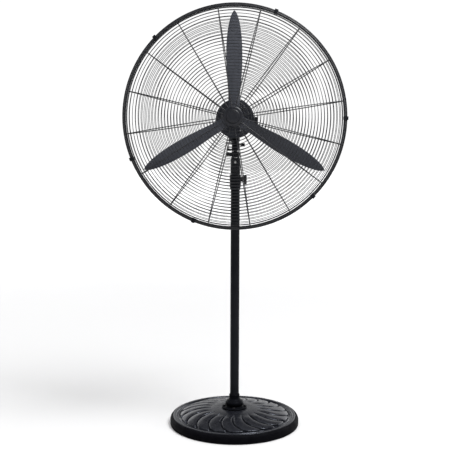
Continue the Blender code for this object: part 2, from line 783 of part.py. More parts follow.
def crank_disc():
    low, top = CRANK_Z
    disc = rod("crank_disc", 0.0115, low, top, STEEL, (GEAR_X, GEAR_Y, 0), steps=20)
    arm = box("crank_arm", (GEAR_X - CRANK_R, GEAR_Y - 0.0045, low + 0.0005),
              (GEAR_X, GEAR_Y + 0.0045, top - 0.0005), None, cutter=True)
    end = rod("crank_end", 0.0047, low + GAP, top - GAP, None, (GEAR_X - CRANK_R, GEAR_Y, 0), steps=14,
              cutter=True)
    shaft = rod("crank_shaft", 0.0032, top - 0.0008, 1.0800, None, (GEAR_X, GEAR_Y, 0), steps=12,
                cutter=True)
    return joined(disc, arm, end, shaft)


def drive_link():
    """The flat-ended rod from the neck's eye back to the crank; its crank end stays open."""
    eye = (LINK_EYE_X, 0, LINK_EYE_Z)
    far = (GEAR_X - CRANK_R, GEAR_Y, LINK_PAD_Z)
    ring = rod("drive_link", 0.0050, LINK_EYE_Z - 0.002, LINK_EYE_Z + 0.002, STEEL, (LINK_EYE_X, 0, 0),
               steps=16)
    bar = wire("link_bar", [(eye[0] - 0.0004, 0.0030, eye[2]), (far[0], far[1] - 0.002, far[2])], 0.0019,
               None, sides=8, cutter=True)
    pad = rod("link_pad", 0.0046, LINK_PAD_Z - 0.002, LINK_PAD_Z + 0.002, None, (far[0], far[1], 0),
              steps=14, cutter=True)
    hole = rod("link_eye_hole", 0.0027, 1.01, 1.04, None, (LINK_EYE_X, 0, 0), steps=12, cutter=True)
    return moved_origin(cut(joined(ring, bar, pad), hole), eye)


# ---- guard ----
def dome_y(radius, reach, rim_y, centre_y, power):
    """Depth of a guard's wires at this distance from the hub: flat in the middle, steep at the rim."""
    return centre_y + (rim_y - centre_y) * (radius / reach) ** power


def ring_points(radius, y, count):
    return [
        (radius * math.sin(math.tau * i / count), y, HUB_Z + radius * math.cos(math.tau * i / count))
        for i in range(count)
    ]


def spoke_points(degrees, start, reach, steps, dome, side):
    points = []
    for i in range(steps + 1):
        radius = start + (reach - start) * (i / steps)
        x, z = on_circle(radius, degrees)
        points.append((x, dome_y(radius, reach, *dome) + side * SPOKE_OFFSET, HUB_Z + z))
    return points


def wire_guard(name, reach, rim_y, centre_y, power, inner_r, side):
    """Rim hoop, a few rings and the spokes, united; side says which way the spokes lie off the rings."""
    dome = (rim_y, centre_y, power)
    guard = wire(name, ring_points(reach, rim_y, 32), HOOP_R, WIRE_PAINT, closed=True)
    extras = [wire(f"{name}_eye", ring_points(inner_r, centre_y, 16), 0.0026, None, closed=True,
                   cutter=True)]
    for share in RING_SHARES:
        radius = share * reach
        y = dome_y(radius, reach, *dome)
        extras.append(wire(f"{name}_ring_{radius:.2f}", ring_points(radius, y, 20), RING_R, None,
                           closed=True, cutter=True))
    for number in range(SPOKES):
        degrees = SPOKE_TURN + 360 / SPOKES * number
        points = spoke_points(degrees, inner_r, reach, 3, dome, side)
        extras.append(wire(f"{name}_spoke_{number}", points, SPOKE_R, None, cutter=True))
    pieces = bpy.data.collections.new(name + "_wires")
    CUTTERS.children.link(pieces)
    for extra in extras:
        CUTTERS.objects.unlink(extra)
        pieces.objects.link(extra)
    step = guard.modifiers.new("join", "BOOLEAN")
    step.operation = "UNION"
    step.operand_type = "COLLECTION"
    step.collection = pieces
    return applied(guard)


def guard_plate():
    profile = [
        (0.0190, 0.0522),
        (PLATE_R - 0.0010, 0.0522),
        (PLATE_R, 0.0512),
        (PLATE_R, 0.0495),
        (0.0190, 0.0495),
    ]
    plate = y_part("guard_plate", profile, BLACK_PAINT, 28, ring=True)
    holes = []
    for number, degrees in enumerate(SCREW_ANGLES):
        x, z = on_circle(SCREW_CIRCLE_R, degrees)
        holes.append(rod(f"plate_hole_{number}", 0.0028, 0.040, 0.060, None, (x, 0, HUB_Z + z),
                         TOWARDS_FRONT, 8, cutter=True))
    return cut(plate, *holes)


def guard_screws():
    for number, degrees in enumerate(SCREW_ANGLES, 1):
        x, z = on_circle(SCREW_CIRCLE_R, degrees)
        profile = [(0, 0.0562), (0.0022, 0.0560), (0.0045, 0.0545), (0.0045, 0.0528)]
        profile += [(0.0024, 0.0528), (0.0024, 0.0448), (0, 0.0448)]
        turned(f"guard_screw_{number}", profile, STEEL, (x, 0, HUB_Z + z), TOWARDS_FRONT, 12)


def front_badge():
    profile = [
        (0, 0.2215),
        (0.0240, 0.2215),
        (0.0310, 0.2205),
        (0.0333, 0.2185),
        (0.0333, 0.2166),
        (0, 0.2166),
    ]
    return y_part("front_badge", profile, BLACK_PLASTIC, 24)


def badge_cap():
    profile = [(0, 0.2245), (0.0205, 0.2238), (0.0228, 0.2222), (0.0228, 0.2218), (0, 0.2218)]
    return y_part("badge_cap", profile, BLACK_PLASTIC, 24)


def guard_clips():
    """Spring clips over both hoops; each is a C section, its mouth towards the hub."""
    for number, degrees in enumerate(CLIP_ANGLES, 1):
        depth, wall, reach, lip = 0.0102, 0.0012, 0.0087, -0.0070
        outline = [
            (reach, -depth),
            (reach, depth),
            (lip, depth),
            (lip, depth - wall),
            (reach - wall, depth - wall),
            (reach - wall, -depth + wall),
            (lip, -depth + wall),
            (lip, -depth),
        ]
        clip = prism(f"guard_clip_{number}", outline, CLIP_LENGTH, BLACK_PAINT)
        along = math.radians(degrees)
        outward = Vector((math.sin(along), 0, math.cos(along)))
        forward = Vector((0, -1, 0))
        frame = Matrix((outward, forward, outward.cross(forward))).transposed().to_4x4()
        middle = outward * (GUARD_R - 0.0067) + Vector((0, RIM_Y, HUB_Z))
        clip.matrix_world = Matrix.Translation(middle) @ frame


# ---- rotor ----
def motor_shaft():
    profile = [
        (0, 0.1800),
        (0.0046, 0.1800),
        (0.0050, 0.1795),
        (0.0050, 0.1525),
        (SHAFT_R, 0.1520),
        (SHAFT_R, -0.0920),
        (0, -0.0920),
    ]
    return y_part("motor_shaft", profile, STEEL, 20)


def rotor_core():
    back, front = STATOR_Y
    profile = [(0.0355, front), (0.0355, back), (SHAFT_R + GAP, back), (SHAFT_R + GAP, front)]
    return y_part("rotor_core", profile, CORE_STEEL, 24, ring=True)


def blade_hub():
    """A spool: the blades' roots lie in the slot between its two flanges."""
    front, back = -BLADE_Y + ROOT_GAP_Y, -BLADE_Y - ROOT_GAP_Y
    profile = [
        (SHAFT_R + GAP, front + 0.0130),
        (0.0150, front + 0.0130),
        (0.0220, front + 0.0060),
        (0.0300, front + 0.0045),
        (0.0315, front + 0.0030),
        (0.0315, front),
        (BLADE_ROOT_R - 0.0007, front),
        (BLADE_ROOT_R - 0.0007, back),
        (0.0290, back),
        (0.0290, back - 0.0035),
        (0.0170, back - 0.0060),
        (0.0170, back - 0.0220),
        (SHAFT_R + GAP, back - 0.0220),
    ]
    return y_part("blade_hub", profile, BLACK_PLASTIC, 22, ring=True)


def smooth_step(value, low, high):
    share = min(max((value - low) / (high - low), 0), 1)
    return share * share * (3 - 2 * share)


def blade_half_width(radius):
    """Half of the blade's width: narrow at the root, widest at the middle, drawn to a point at the tip."""
    if radius < BLADE_WAIST_R:
        return BLADE_HALF_W * (0.62 + 0.38 * smooth_step(radius, BLADE_ROOT_R, BLADE_WAIST_R))
    share = (radius - BLADE_WAIST_R) / (BLADE_TIP_R - BLADE_WAIST_R)
    return BLADE_HALF_W * max((1 - min(share, 1) ** 2.2) ** 0.6, 0.09)


def blade_pitch(radius):
    """The blade's angle to the plane of rotation, flat at the root and easing towards the tip."""
    return math.radians(26 * smooth_step(radius, 0.036, 0.085) - 12 * smooth_step(radius, 0.10, 0.36))


def blade(number, degrees):
    """A twisted leaf: a grid bent by its width and pitch, then thickened."""
    along, across = 12, 3
    work = bmesh.new()
    bmesh.ops.create_grid(work, x_segments=across, y_segments=along, size=1)
    for vertex in work.verts:
        share = (vertex.co.y + 1) / 2
        radius = BLADE_ROOT_R + (BLADE_TIP_R - BLADE_ROOT_R) * share ** 1.2
        half = blade_half_width(radius)
        pitch = blade_pitch(radius)
        offset = vertex.co.x * half
        camber = 0.06 * half * (1 - vertex.co.x ** 2) * smooth_step(radius, 0.05, 0.12)
        vertex.co = (
            offset * math.cos(pitch),
            BLADE_Y + offset * math.sin(pitch) - camber,
            radius,
        )
    made = from_bmesh(f"blade_{number}", work, BLADE_PAINT, (0, 0, HUB_Z), (0, math.radians(degrees), 0))
    skin = made.modifiers.new("thickness", "SOLIDIFY")
    skin.thickness = BLADE_SKIN
    skin.offset = 0
    return applied(made)


def blade_nut():
    nut = prism("blade_nut", polygon(6, 0.0098), 0.0080, STEEL, (0, -0.1573, HUB_Z), TOWARDS_FRONT)
    bore = rod("nut_bore", 0.0053, 0.140, 0.190, None, (0, 0, HUB_Z), TOWARDS_FRONT, 16, cutter=True)
    return cut(nut, bore)


# ---- assembly ----
def build():
    base_plate()
    edge_band()
    pole_flange()
    flange_bolts()
    lower_tube()
    tube_nut()
    height_collar()
    collar_bush()
    height_knob()
    clamp_screw()
    inner_tube()
    mast_guide()
    neck_socket()
    socket_screw()
    tilt_bolt()
    tilt_knob()
    neck_stem()
    swivel_bush()
    swivel_lock()
    motor_cradle()
    swivel_pin()
    motor_front_cover()
    motor_rear_cover()
    stator()
    bearing("front_bearing", 0.0400, 0.0300)
    bearing("rear_bearing", -0.0715, -0.0812)
    gearbox_housing()
    capacitor_box()
    cable_gland()
    speed_switch()
    speed_knob()
    oscillation_knob()
    worm_wheel()
    drive_worm()
    crank_disc()
    drive_link()
    rear_y, front_y = RIM_Y + HOOP_STEP_Y, RIM_Y - HOOP_STEP_Y
    wire_guard("rear_guard", REAR_HOOP_R, rear_y, REAR_CENTRE_Y, REAR_POWER, REAR_EYE_R, 1)
    wire_guard("front_guard", FRONT_HOOP_R, front_y, FRONT_CENTRE_Y, FRONT_POWER, FRONT_EYE_R, -1)
    guard_plate()
    guard_screws()
    front_badge()
    badge_cap()
    guard_clips()
    motor_shaft()
    rotor_core()
    blade_hub()
    for number, degrees in enumerate((0, 120, 240), 1):
        blade(number, degrees)
    blade_nut()


build()
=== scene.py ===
"""Looks of the pedestal fan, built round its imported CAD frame. Metres, +Z up, the head faces -Y."""

import math

import bmesh
import bpy
import numpy as np
from mathutils import Matrix, Vector


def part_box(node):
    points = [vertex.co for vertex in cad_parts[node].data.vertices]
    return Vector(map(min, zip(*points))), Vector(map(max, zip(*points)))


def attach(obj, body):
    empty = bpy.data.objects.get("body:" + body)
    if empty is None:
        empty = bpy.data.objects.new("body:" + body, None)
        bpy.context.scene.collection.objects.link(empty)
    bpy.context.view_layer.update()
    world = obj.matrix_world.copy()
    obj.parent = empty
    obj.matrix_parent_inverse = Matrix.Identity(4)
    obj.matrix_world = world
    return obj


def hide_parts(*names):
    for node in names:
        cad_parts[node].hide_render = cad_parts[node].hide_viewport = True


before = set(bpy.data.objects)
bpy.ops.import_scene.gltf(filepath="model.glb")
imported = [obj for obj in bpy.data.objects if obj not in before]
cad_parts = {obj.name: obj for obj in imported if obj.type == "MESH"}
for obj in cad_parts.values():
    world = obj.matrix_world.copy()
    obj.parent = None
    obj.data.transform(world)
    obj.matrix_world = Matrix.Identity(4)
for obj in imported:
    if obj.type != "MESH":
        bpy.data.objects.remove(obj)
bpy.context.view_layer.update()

# ---- places read from the frame ----
HUB_Z = sum(corner.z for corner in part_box("motor_shaft")) / 2
GUARD_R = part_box("rear_guard")[1].z - HUB_Z
FRONT_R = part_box("front_guard")[1].z - HUB_Z
BASE_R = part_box("edge_band")[1].x
DOME_TOP_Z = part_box("base_plate")[1].z
FLOOR_OF_BASE_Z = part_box("base_plate")[0].z
POLE_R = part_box("lower_tube")[1].x
MAST_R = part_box("inner_tube")[1].x
MOTOR_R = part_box("motor_front_cover")[1].x
BLADE_TIP_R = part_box("blade_1")[1].z - HUB_Z

HUB = Vector((0, 0, HUB_Z))
TOWARDS_FRONT = math.pi / 2


# ---- procedural materials ----
NOISE_LOW, NOISE_HIGH = 0.3, 0.7
FLAT_DOT, EDGE_DOT = 0.995, 0.65


class Look:
    """One node-based material: a Principled shader with helpers that add the nodes in front of it."""

    def __init__(self, name, roughness, metallic=0.0, specular=0.5):
        self.material = bpy.data.materials.new(name)
        self.material.use_nodes = True
        self.tree = self.material.node_tree
        self.shader = self.tree.nodes["Principled BSDF"]
        self.shader.inputs["Roughness"].default_value = roughness
        self.shader.inputs["Metallic"].default_value = metallic
        self.shader.inputs["Specular IOR Level"].default_value = specular
        self.place = self.tree.nodes.new("ShaderNodeTexCoord").outputs["Object"]
        self.last_bump = None

    def node(self, kind, **inputs):
        made = self.tree.nodes.new(kind)
        for label, value in inputs.items():
            socket = made.inputs[label.replace("_", " ")]
            if isinstance(value, bpy.types.NodeSocket):
                self.tree.links.new(value, socket)
            else:
                socket.default_value = value
        return made

    def stretched(self, x, y, z):
        mapping = self.node("ShaderNodeMapping", Vector=self.place)
        mapping.inputs["Scale"].default_value = (x, y, z)
        return mapping.outputs["Vector"]

    def noise(self, scale, detail=3.0, rough=0.55, at=None):
        made = self.node("ShaderNodeTexNoise", Vector=at or self.place, Scale=scale, Detail=detail)
        made.inputs["Roughness"].default_value = rough
        return made.outputs["Fac"]

    def spread(self, value, low, high, to_low=0.0, to_high=1.0):
        made = self.node("ShaderNodeMapRange", Value=value, From_Min=low, From_Max=high)
        made.inputs["To Min"].default_value = to_low
        made.inputs["To Max"].default_value = to_high
        return made.outputs["Result"]

    def clouds(self, scale, detail, to_low=0.0, to_high=1.0, rough=0.55):
        """Soft noise whose middle range is spread over the whole way from to_low to to_high."""
        return self.spread(self.noise(scale, detail, rough), NOISE_LOW, NOISE_HIGH, to_low, to_high)

    def product(self, first, second):
        made = self.node("ShaderNodeMath")
        made.operation = "MULTIPLY"
        self.tree.links.new(first, made.inputs[0])
        if isinstance(second, bpy.types.NodeSocket):
            self.tree.links.new(second, made.inputs[1])
        else:
            made.inputs[1].default_value = second
        return made.outputs[0]

    def mixed(self, share, first, second):
        made = self.tree.nodes.new("ShaderNodeMix")
        made.data_type = "RGBA"
        self.tree.links.new(share, made.inputs["Factor"])
        for socket, value in ((made.inputs[6], first), (made.inputs[7], second)):
            if isinstance(value, bpy.types.NodeSocket):
                self.tree.links.new(value, socket)
            else:
                socket.default_value = (*value, 1)
        return made.outputs[2]

    def edges(self, radius):
        """1 along convex and concave edges within this radius, 0 on the flats."""
        rounded = self.node("ShaderNodeBevel")
        rounded.samples = 4
        rounded.inputs["Radius"].default_value = radius
        plain = self.node("ShaderNodeNewGeometry")
        dot = self.node("ShaderNodeVectorMath")
        dot.operation = "DOT_PRODUCT"
        self.tree.links.new(rounded.outputs["Normal"], dot.inputs[0])
        self.tree.links.new(plain.outputs["Normal"], dot.inputs[1])
        return self.spread(dot.outputs["Value"], FLAT_DOT, EDGE_DOT)

    def rubbed(self, radius, scale, low, high):
        """Patches along the edges where the finish has worn."""
        return self.product(self.edges(radius), self.spread(self.noise(scale, 3), low, high))

    def facing_up(self):
        """1 on level faces that look up, 0 on steep ones."""
        plain = self.node("ShaderNodeNewGeometry")
        parts = self.node("ShaderNodeSeparateXYZ", Vector=plain.outputs["Normal"])
        return self.spread(parts.outputs["Z"], 0.55, 0.98)

    def bump(self, height, strength, distance):
        made = self.node("ShaderNodeBump", Height=height, Strength=strength, Distance=distance)
        if self.last_bump is not None:
            self.tree.links.new(self.last_bump, made.inputs["Normal"])
        self.last_bump = made.outputs["Normal"]

    def finish(self, colour, roughness=None):
        self.tree.links.new(colour, self.shader.inputs["Base Color"])
        if roughness is not None:
            self.tree.links.new(roughness, self.shader.inputs["Roughness"])
        if self.last_bump is not None:
            self.tree.links.new(self.last_bump, self.shader.inputs["Normal"])
        return self.material


def powder_coat(name, dark, light, roughness, peel=900, dust=0.0, wear_and_highlight=0.12, specular=0.5):
    """Satin powder coat: orange peel, faint cloudiness, paler rubbed edges that are partly edge wear and
    partly a painted highlight along ridges and edges, and, if asked, settled dust.
    """
    look = Look(name, roughness, specular=specular)
    look.shader.inputs["Specular Tint"].default_value = (0.80, 0.85, 1.0, 1)
    cloud = look.clouds(22, 4)
    fine = look.spread(look.noise(380, 2), 0.35, 0.65)
    colour = look.mixed(look.product(cloud, 0.75), dark, light)
    colour = look.mixed(look.product(fine, 0.20), colour, light)
    # painted highlight: paler colour along edges and ridges, partly real edge wear
    rubbed = look.rubbed(0.0012, 140, 0.40, 0.62)
    colour = look.mixed(look.product(rubbed, wear_and_highlight), colour, (0.10, 0.105, 0.115))
    rough = look.clouds(70, 4, roughness - 0.06, roughness + 0.07)
    if dust:
        settled = look.product(look.facing_up(), look.spread(look.noise(45, 5, 0.65), 0.38, 0.72))
        colour = look.mixed(look.product(settled, dust), colour, (0.30, 0.30, 0.31))
    look.bump(look.noise(peel, 2), 0.22, 0.00012)
    look.bump(look.noise(120, 2), 0.08, 0.0003)
    return look.finish(colour, rough)


def moulded_plastic(name, dark, light, roughness, grain=2600):
    """Fine spark-eroded grain, with paler rubbed edges."""
    look = Look(name, roughness, specular=0.25)
    cloud = look.clouds(60, 3)
    colour = look.mixed(cloud, dark, light)
    rubbed = look.rubbed(0.0008, 200, 0.4, 0.6)
    colour = look.mixed(look.product(rubbed, 0.30), colour, (0.06, 0.06, 0.064))
    look.bump(look.noise(grain, 2), 0.35, 0.00006)
    return look.finish(colour, look.clouds(90, 3, roughness - 0.05, roughness + 0.08))


def machined_steel(name, dark, light, roughness, scales):
    """Turned or ground metal: fine scratches, longest along the axis of the smallest scale, and tarnish."""
    look = Look(name, roughness, metallic=1.0)
    lines = look.noise(1.0, 4, 0.7, at=look.stretched(*scales))
    stain = look.spread(look.noise(90, 4), 0.35, 0.75)
    colour = look.mixed(look.spread(lines, NOISE_LOW, NOISE_HIGH), light, dark)
    colour = look.mixed(look.product(stain, 0.35), colour, tuple(0.6 * part for part in dark))
    look.bump(lines, 0.18, 0.00005)
    rough = look.spread(lines, NOISE_LOW, NOISE_HIGH, roughness - 0.05, roughness + 0.12)
    return look.finish(colour, rough)


def rubber_look(name):
    """Near-black rubber with faint scuffs that run round the band."""
    look = Look(name, 0.62, specular=0.02)
    cloud = look.clouds(40, 4)
    colour = look.mixed(cloud, (0.0014, 0.0014, 0.0022), (0.0030, 0.0030, 0.0042))
    scuffs = look.spread(look.noise(1.0, 5, 0.7, at=look.stretched(60, 60, 420)), 0.60, 0.78)
    colour = look.mixed(look.product(scuffs, 0.20), colour, (0.020, 0.020, 0.022))
    look.bump(look.noise(1500, 2), 0.25, 0.00008)
    return look.finish(colour, look.clouds(55, 3, 0.52, 0.70))


def cement_look(name):
    """Cast cement: grey-brown clouds with pores."""
    look = Look(name, 0.92, specular=0.25)
    colour = look.mixed(look.clouds(35, 5, rough=0.7), (0.24, 0.235, 0.22), (0.40, 0.39, 0.37))
    pores = look.node("ShaderNodeTexVoronoi", Vector=look.place, Scale=420).outputs["Distance"]
    colour = look.mixed(look.spread(pores, 0.16, 0.05), colour, (0.10, 0.10, 0.095))
    look.bump(pores, 0.5, 0.0008)
    look.bump(look.noise(500, 4, 0.7), 0.5, 0.0006)
    return look.finish(colour)


def blade_look(name):
    """Satin slate enamel with long brushed streaks along the blade and paler rubbed edges."""
    look = Look(name, 0.46, specular=0.22)
    streaks = look.noise(1.0, 4, 0.65, at=look.stretched(260, 260, 9))
    streaks = look.spread(streaks, NOISE_LOW, NOISE_HIGH)
    cloud = look.clouds(16, 4)
    colour = look.mixed(look.product(streaks, 0.45), (0.032, 0.034, 0.042), (0.053, 0.057, 0.068))
    colour = look.mixed(look.product(cloud, 0.35), colour, (0.041, 0.044, 0.053))
    rubbed = look.rubbed(0.0010, 120, 0.42, 0.62)
    colour = look.mixed(look.product(rubbed, 0.40), colour, (0.15, 0.155, 0.165))
    look.bump(look.noise(1100, 2), 0.18, 0.00010)
    return look.finish(colour, look.clouds(50, 4, 0.34, 0.48))


def wire_look(name):
    """Dipped wire: glossier drips of paint and dull patches in it."""
    look = Look(name, 0.40, specular=0.22)
    cloud = look.clouds(55, 3)
    colour = look.mixed(cloud, (0.008, 0.0085, 0.010), (0.016, 0.0165, 0.019))
    specks = look.spread(look.noise(420, 3), 0.62, 0.76)
    colour = look.mixed(look.product(specks, 0.30), colour, (0.05, 0.05, 0.054))
    look.bump(look.noise(700, 2), 0.3, 0.00015)
    return look.finish(colour, look.clouds(130, 3, 0.28, 0.48))


def nylon_look(name):
    """Undyed nylon, slightly see-through."""
    look = Look(name, 0.5, specular=0.4)
    look.shader.inputs["Subsurface Weight"].default_value = 0.15
    colour = look.mixed(look.clouds(80, 3), (0.66, 0.64, 0.57), (0.78, 0.76, 0.70))
    look.bump(look.noise(900, 2), 0.15, 0.0001)
    return look.finish(colour, look.clouds(120, 3, 0.42, 0.58))


def laminations_look(name):
    """The motor's core: thin stacked sheets along Y, with a varnished copper-brown stain."""
    look = Look(name, 0.5, metallic=0.8)
    sheets = look.node("ShaderNodeTexWave", Vector=look.place, Scale=160)
    sheets.bands_direction = "Y"
    colour = look.mixed(sheets.outputs["Fac"], (0.10, 0.10, 0.105), (0.26, 0.26, 0.27))
    varnish = look.product(look.spread(look.noise(60, 4), 0.45, 0.7), 0.5)
    colour = look.mixed(varnish, colour, (0.16, 0.07, 0.03))
    look.bump(sheets.outputs["Fac"], 0.4, 0.0002)
    return look.finish(colour)


PAINT = powder_coat("satin_black_coat", (0.0062, 0.0067, 0.0078), (0.0105, 0.0112, 0.0130), 0.42,
                    specular=0.05)
HEAD_PAINT = powder_coat("satin_black_head", (0.0060, 0.0064, 0.0078), (0.0105, 0.0111, 0.0131), 0.46,
                         specular=0.14, dust=0.02)
CAST_PAINT = powder_coat("satin_black_casting", (0.0022, 0.0024, 0.0032), (0.0040, 0.0043, 0.0055), 0.40,
                         specular=0.02, wear_and_highlight=0.05)
PLATE_PAINT = powder_coat("satin_slate_plate", (0.0120, 0.0128, 0.0155), (0.0220, 0.0232, 0.0275), 0.46,
                          specular=0.14)
BASE_SKIN = powder_coat("base_skin", (0.0030, 0.0032, 0.0046), (0.0052, 0.0056, 0.0080), 0.29, peel=700,
                        specular=0.42, dust=0.01)
WIRE = wire_look("guard_wire")
BLADE = blade_look("blade_slate")
PLASTIC = moulded_plastic("moulded_black", (0.007, 0.007, 0.008), (0.013, 0.013, 0.015), 0.46)
BADGE = moulded_plastic("badge_black", (0.0065, 0.0070, 0.0095), (0.0110, 0.0118, 0.0150), 0.36,
                        grain=3200)
RUBBER = rubber_look("band_rubber")
CEMENT = cement_look("weight_cement")
STEEL = machined_steel("zinc_steel", (0.42, 0.42, 0.42), (0.66, 0.66, 0.65), 0.28, (900, 900, 900))
DARK_STEEL = machined_steel("blackened_steel", (0.030, 0.030, 0.033), (0.075, 0.075, 0.080), 0.38,
                            (900, 900, 900))
MAST_METAL = machined_steel("mast_steel", (0.035, 0.036, 0.039), (0.060, 0.061, 0.065), 0.30,
                            (900, 900, 40))
CORE = laminations_look("core_sheets")
BRASS = machined_steel("turned_brass", (0.45, 0.30, 0.11), (0.74, 0.56, 0.27), 0.30, (700, 700, 700))
NYLON = nylon_look("natural_nylon")


# ---- shapes ----
SHARP_ANGLE = 32


def eased(value, low, high):
    """0 below low, 1 above high, and a smooth rise between them; takes numbers or arrays."""
    share = np.clip((value - low) / (high - low), 0, 1)
    return share * share * (3 - 2 * share)


class Shape:
    """Points and faces gathered from simple sweeps until they become one piece."""

    def __init__(self):
        self.points = []
        self.faces = []

    def add(self, points, faces):
        start = len(self.points)
        self.points.extend(tuple(point) for point in points)
        self.faces.extend(tuple(start + i for i in face) for face in faces)
        return self

    def grid(self, rows, close_rows=False, close_columns=False):
        """Quads over rows of points, each row as long as the next."""
        count, width = len(rows), len(rows[0])
        faces = []
        for i in range(count if close_rows else count - 1):
            for j in range(width if close_columns else width - 1):
                k, m = (i + 1) % count, (j + 1) % width
                faces.append((i * width + j, i * width + m, k * width + m, k * width + j))
        return self.add([point for row in rows for point in row], faces)

    def turned(self, profile, steps=96, ring=False):
        """A profile of (radius, height), outer side running down, turned about Z."""
        angles = [math.tau * i / steps for i in range(steps)]
        rows = [[(r * math.cos(a), r * math.sin(a), z) for a in angles] for r, z in profile]
        return self.grid(rows, close_rows=ring, close_columns=True)

    def tube(self, path, radius, sides=8, closed=False):
        """A round wire of this radius along a smooth path, its ends shut by small domes."""
        path = [Vector(point) for point in path]
        count = len(path)
        normal = None
        rows = []
        for i, point in enumerate(path):
            before = path[i - 1] if closed or i else point
            after = path[(i + 1) % count] if closed or i < count - 1 else point
            along = (after - before).normalized()
            if normal is None:
                normal = along.orthogonal().normalized()
            normal = (normal - along * normal.dot(along)).normalized()
            side = along.cross(normal)
            turns = [math.tau * j / sides for j in range(sides)]
            rows.append([point + radius * (math.cos(t) * normal + math.sin(t) * side) for t in turns])
        if not closed:
            ends = []
            for row, end, inner in ((rows[0], path[0], path[1]), (rows[-1], path[-1], path[-2])):
                out = (end - inner).normalized()
                ends.append([end + (corner - end) * 0.6 + out * radius * 0.5 for corner in row])
            rows = [ends[0]] + rows + [ends[1]]
        start = len(self.points)
        self.grid(rows, close_rows=closed, close_columns=True)
        if not closed:
            self.faces.append(tuple(range(start, start + sides))[::-1])
            last = start + (len(rows) - 1) * sides
            self.faces.append(tuple(range(last, last + sides)))

    def mesh(self, name, place=(0, 0, 0), turn=0.0, sharp=SHARP_ANGLE):
        """A smooth-shaded mesh; turn is about the X axis, before it is moved to its place."""
        mesh = bpy.data.meshes.new(name)
        mesh.from_pydata(self.points, [], self.faces)
        work = bmesh.new()
        work.from_mesh(mesh)
        bmesh.ops.remove_doubles(work, verts=work.verts, dist=0.000002)
        bmesh.ops.recalc_face_normals(work, faces=work.faces)
        work.to_mesh(mesh)
        work.free()
        mesh.transform(Matrix.Translation(Vector(place)) @ Matrix.Rotation(turn, 4, "X"))
        mesh.shade_smooth()
        mesh.set_sharp_from_angle(angle=math.radians(sharp))
        return mesh


def piece(name, mesh, body, slot, look, *nodes):
    """Makes the mesh a shown piece that rides on a body and stands for the CAD nodes."""
    made = bpy.data.objects.new(name, mesh)
    bpy.context.scene.collection.objects.link(made)
    mesh.materials.clear()
    mesh.materials.append(look)
    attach(made, body)
    if nodes:
        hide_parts(*nodes)
    return made


def rounded(profile, size=0.0006, steps=3, ring=False):
    """The profile with each corner replaced by a short curve; the ends stay unless it is a ring."""
    points = [Vector((*point, 0)) for point in profile]
    count = len(points)
    smooth = []
    for i, corner in enumerate(points):
        if not ring and i in (0, count - 1):
            smooth.append((corner.x, corner.y))
            continue
        before, after = points[i - 1], points[(i + 1) % count]
        back, ahead = before - corner, after - corner
        reach = min(size, back.length * 0.45, ahead.length * 0.45)
        start, end = corner + back.normalized() * reach, corner + ahead.normalized() * reach
        for k in range(steps + 1):
            t = k / steps
            point = start * (1 - t) ** 2 + corner * 2 * t * (1 - t) + end * t * t
            smooth.append((point.x, point.y))
    return smooth


def lathe(name, profile, body, slot, look, *nodes, place=(0, 0, 0), turn=0.0, steps=96, ring=True,
          size=0.0006):
    """A profile with softened corners turned into a piece."""
    mesh = Shape().turned(rounded(profile, size, ring=ring), steps, ring).mesh(name, place, turn)
    return piece(name, mesh, body, slot, look, *nodes)


def carved(made, *cutters):
    """Cuts closed helper meshes out of a piece, then removes them."""
    for cutter in cutters:
        step = made.modifiers.new("cut", "BOOLEAN")
        step.operation = "DIFFERENCE"
        step.object = cutter
        step.solver = "EXACT"
    bpy.context.view_layer.update()
    graph = bpy.context.evaluated_depsgraph_get()
    mesh = bpy.data.meshes.new_from_object(made.evaluated_get(graph))
    made.modifiers.clear()
    made.data = mesh
    mesh.shade_smooth()
    mesh.set_sharp_from_angle(angle=math.radians(SHARP_ANGLE))
    for cutter in cutters:
        bpy.data.objects.remove(cutter, do_unlink=True)


def block(low, high, turn, about):
    """A closed cutter box; turn is about the Y axis through the point about."""
    work = bmesh.new()
    bmesh.ops.create_cube(work, size=1)
    low, high = Vector(low), Vector(high)
    size, middle = high - low, (high + low) / 2
    move = Matrix.Translation(middle) @ Matrix.Diagonal((*size, 1))
    spin = Matrix.Translation(about) @ Matrix.Rotation(turn, 4, "Y") @ Matrix.Translation(-about)
    move = spin @ move
    bmesh.ops.transform(work, matrix=move, verts=work.verts)
    mesh = bpy.data.meshes.new("cutter")
    work.to_mesh(mesh)
    work.free()
    made = bpy.data.objects.new("cutter", mesh)
    bpy.context.scene.collection.objects.link(made)
    return made


# ---- base ----
SWIRLS = 20
SWIRL_START = 2.2
SWIRL_IN_R, SWIRL_OUT_R = 0.0857, 0.2045
GROOVE_HALF, GROOVE_DEPTH = 0.0046, 0.0064
TONGUE_CORNER, TONGUE_GAP, TONGUE_CROWN = 0.0150, 0.0040, 0.0026
DOME_FLAT_R, DOME_EDGE_R = 0.0600, 0.2120
RIM_Z = 0.0300
GROOVE_R = 0.2120
BEAD_OUT_R = 0.2275
BORE_R = 0.0171
SKIN = 0.003
UNDER_DROP, CEMENT_DROP = 0.0074, 0.0088


def dome_height(radius):
    """Height of the plain dome, without the swirl."""
    share = np.clip((radius - DOME_FLAT_R) / (DOME_EDGE_R - DOME_FLAT_R), 0, 1)
    return DOME_TOP_Z - (DOME_TOP_Z - RIM_Z) * share ** 1.42


def swirl_turn(share):
    """How far a groove has swung by this share of its length, counter-clockwise from above."""
    share = np.clip(share, 0, 1)
    return math.radians(34) * share ** 2 - math.radians(20) * share


